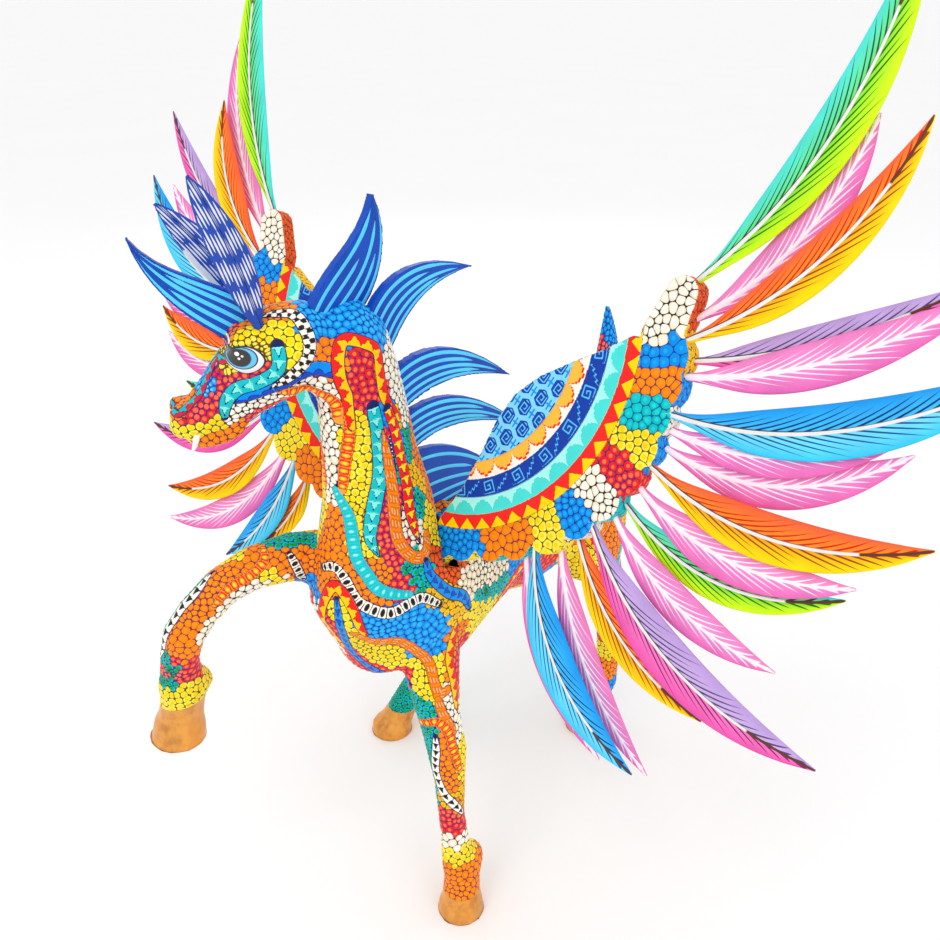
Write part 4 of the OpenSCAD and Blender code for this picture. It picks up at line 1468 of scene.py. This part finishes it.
def build_feather(side, number):
    """One feather: a ribbed blade with barbs cut into both faces, and its quill."""
    root, axes = wing_axes(side)
    node = f"feather_{side}_{number}"
    centre, wide, thick = blade_rings(node, root, axes)
    slot = "feather_" + FEATHER_SLOTS.get(number, "pink")
    if side == "right" and number == 17:
        slot = "feather_orange"
    upper, lower = FEATHER[slot]
    pink = slot == "feather_pink"
    line = spline(np.column_stack([centre, wide, thick]), 160)
    walk = np.concatenate([[0], np.cumsum(np.linalg.norm(np.diff(line[:, :2], axis=0), axis=1))])
    long = walk[-1]

    def at(s, k):
        return np.interp(s, walk, line[:, k])

    count = int(long / BARB * BARB_ROWS)
    start = np.linspace(0, long * 0.997, count)
    phase = np.arange(count) % BARB_ROWS
    # A ring's points by code: 0 is the midrib's top, 8 and 9 are at its foot, and up to 1 is
    # that share of the way from there to the blade's edge.
    q = np.array([-1, -0.93, -0.8, -0.64, -0.48, -0.34, -0.2])
    column = np.concatenate([q, [-9, -8, 0, 8, 9], -q[::-1]])
    codes = np.concatenate([column, column[1:-1][::-1]])
    top = np.arange(len(codes)) < len(column)
    s0 = np.repeat(start[:, None], len(codes), 1)
    s = s0.copy()
    for _ in range(6):
        w = np.maximum(at(s, 3), 0.3)
        rib = np.minimum(0.5 * w, 1.25 - 0.75 * s / long)
        share = np.abs(codes)[None, :]
        x = np.where(share == 0, 0, np.where(share == 8, rib, np.where(
            share == 9, rib + np.minimum(0.35, 0.1 * w), rib + 0.3 + share * (w - rib - 0.3))))
        room = np.maximum(long - s0, 0.05)
        s = s0 + room * (1 - np.exp(-SLANT * np.maximum(x - rib, 0) / room))
    x = np.where(share == 1, w, x) * np.sign(codes)
    spot = np.stack([at(s, k) for k in range(3)], axis=2)
    ahead = unit(np.stack([at(s + 1, k) - at(s - 1, k) for k in range(2)], axis=2))
    aside = np.stack([ahead[..., 1], -ahead[..., 0]], axis=2)
    part = np.clip(np.abs(x) / w, 0, 1)
    h = at(s, 4) * np.sqrt(np.maximum(1 - part ** 2.6, 0.0))
    on_rib = np.abs(x) <= rib + 1e-6
    ridge = (1.0 - 0.75 * s / long) * np.sqrt(np.maximum(1 - (x / (rib + 0.01)) ** 2, 0))
    reach = rng.uniform(0.5, 1.0, (count // BARB_ROWS + 2, 2))
    barb_no = (np.arange(count) + BARB_ROWS // 2) // BARB_ROWS
    far = reach[np.minimum(barb_no, len(reach) - 1)][:, (codes > 0).astype(int)]
    away = np.minimum(phase, BARB_ROWS - phase)[:, None] * BARB / BARB_ROWS
    away = away / math.sqrt(1 + SLANT ** 2) * np.clip((long - s0) / 25, 0.25, 1)
    slim = np.clip(1 - (part / far) ** (0.9 if pink else 1.5), -0.5, 1)
    stroke = (0.56 if pink else 0.46) * slim
    groove = np.where(on_rib, 0, np.clip(1 - away / 0.7, 0, 1) * np.clip(slim, 0, 1))
    height = h + np.where(on_rib & (s > 6), ridge, 0) - 0.22 * groove * (h > 0.4)
    level = np.where(top[None, :], height, -height)
    level = np.where(share == 1, 0, level)
    flat = np.concatenate([spot[..., :2] + aside * x[..., None],
                           (spot[..., 2] + level)[..., None]], axis=2)
    rings = root + flat @ axes
    if side == "left":
        rings = rings[:, ::-1]
    points, faces = tube_of(rings)
    paint = Paint(len(points))

    def spread(values):
        v = np.broadcast_to(values, s.shape)
        v = v[:, ::-1] if side == "left" else v
        return np.concatenate([v.ravel(), [v[0, 0], v[-1, 0]]])

    part_, x_, s_ = spread(part), spread(x), spread(s)
    low_side = x_ > 0
    blend = (part_ ** 0.8)[:, None]
    for half, (near, edge, barb) in ((~low_side, upper), (low_side, lower)):
        tone = near * (1 - blend) + edge * blend
        paint.tone[half] = tone[half]
        paint.mark[half] = barb
    wave = np.interp(s_, np.linspace(0, long, 30), rng.uniform(0.93, 1.06, 30))
    paint.tone = np.clip(paint.tone * wave[:, None], 0, 1)
    mark_d = spread(stroke) - spread(away)
    rib_ = spread(rib)
    inside = spread(on_rib)
    late = s_ / long > 0.8
    rib_colour = tint(236, 234, 230)
    if pink:
        mark_d = np.maximum(mark_d, 1.9 - 1.8 * s_ / long - np.abs(x_))
        rib_colour = tint(255, 240, 246)
    mark_d[inside] = (rib_ - np.abs(x_) + 0.15)[inside]
    paint.mark[inside] = rib_colour
    if not pink:
        paint.mark[inside & late] = tint(96, 58, 40)
        # Painted shadow: the dark grey line along one side of the raised midrib is shade painted into
        # the colour.
        paint.edge[:] = tint(74, 70, 72)
        paint.edge_d = np.abs(x_ + rib_ + 0.15) - 0.34 * np.clip(1.2 - s_ / long, 0.2, 1)
        paint.edge_d[spread(~top & (codes != 0)) & (x_ > 0)] = 9
    paint.mark_d = mark_d
    wood = spread((s < 8.5) & (rib > 0)).astype(bool)
    return finished(f"feather_{side}_{number}_painted", points, faces, paint, FEATHER_SKIN,
                    "wing_" + side, [node], wood)


# ---- wing plates --------------------------------------------------------------------------
# Where the bands end: hexagons, scallops, the dark band, the teal arches and the fangs.
HEX_RIM, SCALLOP_RIM, DARK_RIM, TEAL_RIM, FANG_RIM = 88, 99, 110.5, 121.5, 131
# Where a lobe's cells are centred, across and up the plate, and the cells of its face and
# of its edge.
LOBES = [
    (118, 184, "white", "rust"), (114, 173, "white", "rust"), (123, 199, "white", "rust"),
    (128, 164, "blue", "gold"), (114, 160, "blue", "gold"), (126, 148, "orange", "blue"),
    (114, 148, "orange", "blue"), (123, 129, "teal", "white"), (123, 110, "yellow", "blue"),
    (116, 94, "red", "red"), (105, 75, "white", "teal"), (94, 57, "blue", "white"),
    (78, 43, "yellow", "yellow"), (60, 33, "orange", "teal"), (44, 27, "orange", "teal"),
    (22, 20, "blue", "yellow"), (8, 13, "blue", "yellow"),
]
HEX_PITCH, HEX_ROW = 14.0, 11.6     # from one hexagon to the next, and to the next row
HEX_GROUND = tint(128, 216, 250)
HEX_BLUE = tint(18, 66, 172)
CROSS_BLUE = tint(24, 152, 238)


def whorl(x, y, pitch, turn=0.0):
    """How far a point is from a line that winds in round the middle, in a square way."""
    r = np.maximum(np.abs(x), np.abs(y))
    angle = np.arctan2(y, x) / (2 * math.pi) + turn
    wind = r / pitch - angle
    return np.abs(wind - np.floor(wind) - 0.5) * pitch, r


def stepped(x, size):
    """Rounded to whole steps of this size."""
    return np.floor(x / size + 0.5) * size


def paint_bands(paint, u, v, take):
    """The hexagons near the root, and the bands round them out to the lobes."""
    rho = np.hypot(u - FAN_AT[0], v - FAN_AT[1])
    phi = np.arctan2(v - FAN_AT[1], u - FAN_AT[0])

    def span_of(radius, pitch):
        s = phi * radius / pitch
        return (s - np.floor(s) - 0.5) * pitch

    def put(where, tone, mark, edge, mark_d, edge_d):
        where = where & take
        paint.tone[where] = tone
        paint.mark[where] = mark if np.ndim(mark) == 1 else mark[where]
        paint.edge[where] = edge
        paint.mark_d[where] = mark_d[where]
        paint.edge_d[where] = edge_d[where]

    a, b = 0.94 * u - 0.34 * v, 0.34 * u + 0.94 * v
    row = np.round(b / HEX_ROW)
    shift = (row % 2) * HEX_PITCH / 2
    du = a - shift - HEX_PITCH * np.round((a - shift) / HEX_PITCH)
    dv = b - row * HEX_ROW
    norm = np.maximum(np.abs(du) / 4.5, np.abs(du) / 4.5 * 0.45 + np.abs(dv) / 5.7 * 0.95)
    line, _ = whorl(du / 4.5 * 4.2, dv / 5.7 * 4.6, 1.85, 0.1)
    hexed = norm < 1.08
    ax, ay = HEX_PITCH / 2 - np.abs(du), np.abs(dv)
    cross = np.maximum(np.minimum(0.62 - ax, 3.6 - ay), np.minimum(0.62 - ay, 2.3 - ax))
    mark = np.where(hexed[:, None], HEX_BLUE, CROSS_BLUE)
    put(rho < HEX_RIM, HEX_GROUND, mark, tint(100, 200, 250),
        np.where(hexed, (1 - norm) * 4.5, cross),
        np.where((norm < 0.86) & (norm > 0.12), line - 0.36, 9.0))
    x = span_of(93, 15.5)
    bow = 88.6 + stepped(8.4 * np.sqrt(np.maximum(1 - (2 * x / 15.5) ** 2, 0)), 1.5)
    gap = rho - bow
    put((rho >= HEX_RIM) & (rho < SCALLOP_RIM), tint(255, 190, 66), WHITE, tint(240, 50, 20), gap,
        np.minimum(np.abs(gap) - 0.75, rho - HEX_RIM - 0.35))
    x = span_of(104.7, 24.0)
    y = rho - 104.7
    line, r = whorl(x + 5, y * 1.05, 2.7)
    stair = np.abs(y + (x - 7) * 0.75 + 1.1 * tri((x - 7) / 2.8)) * 0.72
    dark_mark = np.where(np.abs(x + 5) < 5.8, np.where(r < 4.9, 0.46 - line, -1),
                         np.where(np.abs(x - 7) < 5.6, 0.44 - stair, -1))
    put((rho >= SCALLOP_RIM) & (rho < DARK_RIM), tint(22, 62, 164), tint(86, 190, 248), NAVY,
        dark_mark, rho - SCALLOP_RIM - 0.3)
    x = span_of(116, 15.5)
    arch = TEAL_RIM - stepped(8.6 * np.sqrt(np.maximum(1 - (2 * x / 15.5) ** 2, 0)), 1.5)
    put((rho >= DARK_RIM) & (rho < TEAL_RIM), tint(166, 246, 236), tint(72, 222, 214), NAVY,
        rho - arch, rho - DARK_RIM - 0.3)
    x = span_of(126, 12.6)
    fang = ((rho - 123.6) / 7.4 * 6.3 - np.abs(x)) * 0.72
    put((rho >= TEAL_RIM) & (rho < FANG_RIM), tint(244, 40, 36), tint(255, 212, 0),
        tint(150, 40, 20), fang,
        np.minimum(np.minimum(rho - TEAL_RIM - 0.2, 130.7 - rho), np.abs(fang) - 0.18))
    flat = take & (rho < FANG_RIM)
    paint.height[flat] = (0.10 * dome(paint.mark_d / 0.5) - 0.10
                          * dome(-(paint.edge_d - 0.4) / 0.6))[flat]


def build_plate(side):
    """One wing plate: its bands, its lobes of cells, its tenon and the quills' collars."""
    node = "wing_plate_" + side
    body = "wing_" + side
    root, axes = wing_axes(side)
    shapes = [cad_shape(node)]
    for number in range(1, FEATHERS + 1):
        centre, _, _ = blade_rings(f"feather_{side}_{number}", root, axes)
        way = unit(centre[1] - centre[0])
        ends = root + np.array([centre[0] - way * 0.6, centre[1] + way * 2]) @ axes
        shapes.append(rod(ends[0], ends[1], 2.3, 2.3))
    p, faces = clay_piece(shapes, 1.05, 2)
    end, axis = peg_of(node, body)
    width = np.cross(axis, axes[2])
    local = (p - root) @ axes.T
    deep = (p - end) @ axis
    wide, thick = (p - end) @ width, (p - end) @ axes[2]
    tenon = (deep < 25) & (np.abs(wide) < 9) & (np.abs(thick) < 5)
    for value, half, way in ((wide, TENON[0], width), (thick, TENON[1], axes[2])):
        far = tenon & (np.abs(value) > half - 1.0)
        p[far] += ((np.sign(value) * half - value)[far])[:, None] * way
    flatten = ~tenon & (np.abs(local[:, 2]) > 5.0) & (np.abs(thick) > 4.6)
    p[flatten] += ((np.sign(local[:, 2]) * 6.0 - local[:, 2])[flatten])[:, None] * axes[2]
    local = (p - root) @ axes.T
    u, v, n = local.T
    normal = normals_of(p, faces)
    on_face = np.abs(normal @ axes[2]) > 0.6
    centres = np.array([(a, b) for a, b, _, _ in LOBES], float)
    lobe = to_line(np.column_stack([u, v]), centres)[0]
    kinds = np.array([LOBES[k][3 - int(f)] for k, f in zip(lobe, on_face)])
    rho = np.hypot(u - FAN_AT[0], v - FAN_AT[1])
    area = area_at(p, faces)
    paint = Paint(len(p))
    for take, squeeze, pitch in ((on_face & (rho > 127), 1.0, 5.7), (~on_face, 1.7, 5.6)):
        squeezed = np.column_stack([u, v, n * squeeze])
        pick = np.flatnonzero(take)[::3]
        seeds = pick[scattered_on(squeezed[pick], np.full(len(pick), pitch),
                                  area[pick] * 3 * squeeze)]
        paint_cells(paint, squeezed, squeezed[seeds], kinds[seeds], take)
    corner = np.abs(np.abs(normal @ axes[2]) - 0.6) * 2.0 - 0.3
    paint.edge_d = np.minimum(paint.edge_d, corner)
    paint_bands(paint, u, v, on_face)
    paint.height[deep < 27] = 0
    p = p + normal * (paint.height - 0.1 * (~tenon))[:, None]
    return finished("wing_" + side + "_painted", p, faces, paint, WING_SKIN, body,
                    [node], tenon)


def scattered_on(p, pitch, area, rounds=6):
    """Seeds among points that each stand for this much area."""
    weight = 1 / pitch ** 2
    count = max(3, int((area / (0.866 * pitch ** 2)).sum()))
    seeds = p[rng.choice(len(p), count, replace=False, p=weight / weight.sum())]
    for _ in range(rounds):
        tree = kd_of(seeds)
        near = np.array([tree.find(q)[1] for q in p.tolist()])
        total = np.maximum(np.bincount(near, weight, count), 1e-9)
        moved = np.column_stack([np.bincount(near, weight * p[:, k], count) / total
                                 for k in range(3)])
        used = np.bincount(near, minlength=count) > 0
        seeds = np.where(used[:, None], moved, seeds)
    tree = kd_of(p)
    return np.array([tree.find(q)[1] for q in seeds.tolist()])


# ---- mane ---------------------------------------------------------------------------------
MANE_BLUE = tint(22, 76, 184)
MANE_LIGHT = tint(86, 208, 255)
EDGE_STEPS = 60     # samples along each edge of a lock
# Stripes of a lock: place between its lower and upper edge, and how near the tip it ends.
STRIPES = [(0.10, 0.02), (0.27, 0.30), (0.46, 0.12), (0.66, 0.38), (0.87, 0.04)]


def outline_of(node, across):
    """The lock's flat outline, walked round from the foot's lower corner: its points in
    the lock's plane, and the plane's level direction."""
    ahead = unit(np.cross(UPWARD, across))
    points, faces = welded(node)
    front = points @ across > (cad_shape(node)[0] @ across).mean()
    sides = {}
    for corners in faces:
        if all(front[k] for k in corners):
            for a, b in zip(corners, corners[1:] + corners[:1]):
                sides[(a, b)] = True
    follow = {a: b for a, b in sides if (b, a) not in sides}
    first = next(iter(follow))
    ring = [first]
    while follow[ring[-1]] != first:
        ring.append(follow[ring[-1]])
    flat = np.column_stack([points[ring] @ ahead, points[ring] @ UPWARD])
    step = np.linalg.norm(np.roll(flat, -1, axis=0) - flat, axis=1)
    foot = int(np.argmax(step))
    return np.roll(flat, -foot - 1, axis=0), ahead


def build_lock(number):
    """One flame of the mane, with raised light stripes that follow its edges."""
    node = f"mane_lock_{number}"
    across = LEFTWARD if number == 1 else np.array([1.0, 0, 0])
    flat, ahead = outline_of(node, across)
    p, faces = clay_piece([cad_shape(node)], 1.0, 3)
    a, b = p @ ahead, p[:, 2]
    here = np.column_stack([a, b])
    tip = len(flat) // 2
    one = spline(flat[:tip + 1], EDGE_STEPS)
    two = spline(flat[tip:][::-1], EDGE_STEPS)
    row_one, d_one = to_line(here, one)
    row_two, d_two = to_line(here, two)
    width = d_one + d_two
    t = d_one / np.maximum(width, 0.1)
    left = 1 - (row_one + row_two) / (2 * (EDGE_STEPS - 1))
    normal = normals_of(p, faces)
    facing = np.abs(normal @ across)
    paint = Paint(len(p))
    paint.tone[:] = MANE_BLUE
    paint.mark[:] = MANE_LIGHT
    paint.edge[:] = tint(14, 44, 130)
    mark_d = np.full(len(p), -9.0)
    for place, stop in STRIPES:
        half = np.clip(0.072 * width, 0.3, 1.2) * np.clip((left - stop) / 0.10, -1, 1)
        mark_d = np.maximum(mark_d, half - np.abs(t - place) * width)
    paint.mark_d = np.where(facing > 0.55, mark_d, -9)
    paint.edge_d = np.where(facing > 0.55, np.abs(mark_d + 0.15) - 0.13, 9)
    wave = 1 + 0.06 * np.sin(a * 0.13 + b * 0.09)
    paint.tone = np.clip(paint.tone * wave[:, None], 0, 1)
    thin = np.clip(np.minimum(d_one, d_two) / 5, 0, 1)
    paint.height[:] = (0.25 * dome(mark_d / 0.9) - 0.15) * (facing > 0.55) - 0.9 * (
        1 - dome(thin)) * (facing > 0.3)
    p = p + normal * paint.height[:, None]
    return finished(node + "_painted", p, faces, paint, MANE_SKIN, "root", [node])


# ---- ears and tail ----------------------------------------------------------------------
def leaf_wide(p, end, axis, length):
    """The wide direction of a leaf, taken from what is past this length."""
    far = p[(p - end) @ axis > length]
    away = far - far.mean(0)
    away = away - (away @ axis)[:, None] * axis
    wide = np.linalg.svd(away, full_matrices=False)[2][0]
    return wide if wide @ FORWARD > 0 else -wide


def build_ear(side):
    """One ear: a folded leaf with rows of pale brush strokes, on a bare peg."""
    node = "ear_" + side
    end, axis = peg_of(node, node)
    p, faces = clay_piece([cad_shape(node)], 0.7, 3)
    p, peg = fitted_peg(p, end, axis, *EAR_PEG)
    wide = leaf_wide(p, end, axis, 30)
    back = np.cross(axis, wide)
    z = (p - end) @ axis - 13
    long = z.max()
    x = (p - end) @ wide - 10 * (np.clip(z, 0, None) / long) ** 2
    w = np.maximum(10.5 * np.sin(np.pi * np.clip(0.1 + 0.88 * z / long, 0, 1)) ** 0.8, 0.5)
    normal = normals_of(p, faces)
    facing = np.abs(normal @ back)
    paint = Paint(len(p))
    paint.tone[:] = tint(40, 76, 172)
    paint.mark[:] = tint(226, 226, 232)
    paint.edge[:] = tint(20, 40, 120)
    best = np.full(len(p), -9.0)
    crease = -1.0
    for k, level in enumerate((0.14, 0.34, 0.54, 0.73, 0.90)):
        bend = level * long + 0.5 * np.abs(x - crease)
        lane = np.round((x - crease) / LANE)
        gap = np.abs(x - crease - lane * LANE)
        jitter = 1.6 * np.sin(lane * 4.1 + k * 2.0)
        run = 1 - np.abs(z - bend - jitter) / 7.0
        best = np.maximum(best, np.minimum(0.58 * np.sqrt(np.clip(run, 0, 1)) - gap, run * 3))
    best = np.where(w - np.abs(x) < 1.2, -9.0, best)
    if side == "right":
        margin = np.minimum(x - 0.62 * w, (0.62 * long - z) * 0.3)
        best = np.maximum(best, np.minimum(margin, (z - 6) * 0.3))
    paint.mark_d = best
    paint.edge_d = np.where(facing > 0.4, np.abs(x - crease) - 0.25, 9.0)
    fold = np.exp(-((x - crease) / 2.0) ** 2) * np.clip(z / 12, 0, 1) * np.clip(
        (long - z) / 20, 0, 1)
    paint.height[:] = 0.10 * dome(paint.mark_d / 0.5) - 0.8 * fold * (facing > 0.5)
    paint.height[peg | (z < 1.5)] = 0
    p = p + normal * paint.height[:, None]
    return finished(node + "_painted", p, faces, paint, MANE_SKIN, node, [node],
                    peg & (z < -4))


def build_tail():
    """The tail: a plume with zones of cells, on a bare peg."""
    end, axis = peg_of("tail", "tail")
    p, faces = clay_piece([cad_shape("tail")], 1.2, 3)
    p, peg = fitted_peg(p, end, axis, *TAIL_PEG)
    z = (p - end) @ axis - 25
    normal = normals_of(p, faces)
    stretched = p - 0.35 * ((p - end) @ axis)[:, None] * axis
    pick = np.arange(len(p))[::3]
    seeds = pick[scattered_on(stretched[pick], np.full(len(pick), 5.2), 0.6 ** 2 * 3)]
    turn = np.arctan2((p - end) @ np.cross(axis, LEFTWARD), (p - end) @ LEFTWARD)
    jag = 34 + 7 * tri(turn / 2.1)
    zone = np.where(z > jag + 36, "blue", np.where(z > jag, "red", "teal"))
    zone = np.where(z < 12, "yellow", zone)
    paint = Paint(len(p))
    paint_cells(paint, stretched, stretched[seeds], zone[seeds])
    low = z < 2
    paint.tone[low] = ROYAL
    paint.mark_d[low] = -9
    paint.edge_d[low] = 9
    paint.height[peg | low] = 0
    p = p + normal * paint.height[:, None]
    return finished("tail_painted", p, faces, paint, BODY_SKIN, "tail", ["tail"],
                    peg)


# ---- eyes and tusks -----------------------------------------------------------------------
EYE_AT = (44.0, 0.0)
EYE_SIZE = (11.0, 8.2)
IRIS, PUPIL = 6.2, 5.2      # half-heights


def eye_reach(turn):
    """An almond's reach at this turn: pointed at the front and the back."""
    c, s = np.abs(np.cos(turn)), np.abs(np.sin(turn))
    return 1 / (c ** 1.75 + s ** 1.75) ** (1 / 1.75)


def build_eye(side):
    """One eye: an almond that bulges from the cheek, painted with its iris and glints."""
    s = SIDE[side]
    rings, spokes = 44, 112
    turn = np.arange(spokes) * 2 * math.pi / spokes
    share = np.linspace(0.02, 1, rings)
    f = EYE_AT[0] + EYE_SIZE[0] * share[:, None] * (eye_reach(turn) * np.cos(turn))[None]
    u = EYE_AT[1] + EYE_SIZE[1] * share[:, None] * (eye_reach(turn) * np.sin(turn))[None]
    places = np.stack([f, u], axis=2).reshape(-1, 2)
    skin = []
    for a, b in places:
        start = on_head(a, b, s * 60)
        found = body_tree.ray_cast(Vector(start), Vector(LEFTWARD * -s))
        skin.append(found[0] if found[0] is not None else on_head(a, b, s * 12))
    skin = np.array(skin).reshape(rings, spokes, 3)
    bulge = np.sqrt(np.maximum(1 - share ** 2, 0))[:, None, None]
    out = unit(LEFTWARD * s * 0.9 + FORWARD * 0.35 + UPWARD * 0.1)
    front = skin + out * (2.4 * bulge + 0.25)
    back = skin[::-1] - out * 2.0
    solid = np.concatenate([front, back])
    points, faces = tube_of(solid if s < 0 else solid[:, ::-1])
    r = np.concatenate([share, share[::-1]])
    r = np.repeat(r[:, None], spokes, 1)
    a = np.concatenate([f, f[::-1]])
    b = np.concatenate([u, u[::-1]])
    if s > 0:
        a, b = a[:, ::-1], b[:, ::-1]
    a = np.concatenate([a.ravel(), [EYE_AT[0]] * 2])
    b = np.concatenate([b.ravel(), [EYE_AT[1]] * 2])
    r = np.concatenate([r.ravel(), [0, 0]])
    paint = Paint(len(points))
    x, y = a - EYE_AT[0], b - EYE_AT[1]
    iris = np.hypot((x - 1.4) / 1.36, y - 1.1)
    pupil = np.hypot((x - 2.5) / 1.2, y - 1.3)
    shade = (0.86 + 0.14 * np.clip((y + 7) / 8, 0, 1))[:, None]
    paint.tone[:] = tint(238, 240, 238) * shade
    ring = iris < IRIS
    paint.tone[ring] = tint(98, 190, 232)
    inner = pupil < PUPIL
    paint.tone[inner] = tint(46, 42, 44)
    paint.mark[:] = WHITE
    glints = np.full(len(points), -9.0)
    for gx, gy, gr in ((3.6, 3.6, 1.3), (2.6, 0.8, 0.75), (0.8, 2.4, 0.7)):
        glints = np.maximum(glints, gr - np.hypot(x - gx, y - gy))
    paint.mark_d = glints
    lines = np.minimum(np.abs(iris - IRIS) - 0.28, np.abs(pupil - PUPIL) - 0.2)
    lines = np.where(inner, 9.0, lines)
    paint.edge_d = np.minimum(lines, (1 - r) * 9 - 0.7)
    paint.edge[:] = tint(24, 40, 70)
    return finished("eye_" + side, points, faces, paint, EYE_SKIN, "root", [])


def build_tusk(side):
    """One small tusk that hangs behind the lip."""
    s = SIDE[side]
    rows = [(75.5, -46, 8.6, 2.0), (76.4, -49, 9.4, 1.9), (77.6, -52.4, 9.8, 1.5),
            (79.0, -55.4, 9.8, 0.9), (80.2, -57.6, 9.6, 0.3)]
    fine = spline(rows, 26)
    path = np.array([on_head(f, u, s * l) for f, u, l, _ in fine])
    d = unit(np.gradient(path, axis=0))
    side_way = unit(np.cross(d, FORWARD))
    up = np.cross(side_way, d)
    r = fine[:, 3:4]
    points, faces = tube(path, side_way * r, up * r, 24)
    paint = Paint(len(points))
    paint.tone[:] = tint(250, 246, 236)
    return finished("tusk_" + side, points, faces, paint, EYE_SKIN, "root", [])


BODY_SKIN = painted("body_paint")
WING_SKIN = painted("wing_paint", 0.45, 0.03)
MANE_SKIN = painted("mane_paint", 0.38, 0.08)
FEATHER_SKIN = painted("feather_paint", 0.45, 0.03)
EYE_SKIN = painted("eye_paint", 0.18, 0.8, 0.02)
WOOD = bare_wood()
GOLD_PAINT = gold_paint()

pieces = list(build_body())
# The CAD trunk and legs are hidden; the body's pieces are drawn where they were.
for number, node in ((1, "trunk"), (3, "leg_fore_left"), (4, "leg_fore_right"),
                     (5, "leg_hind_left"), (6, "leg_hind_right")):
    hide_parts(node)
for side in SIDE:
    build_plate(side)
    for number in range(1, FEATHERS + 1):
        build_feather(side, number)
    build_ear(side)
    build_eye(side)
    build_tusk(side)
for number in range(1, LOCKS + 1):
    build_lock(number)
build_tail()
make_camera()
make_light()
make_floor()
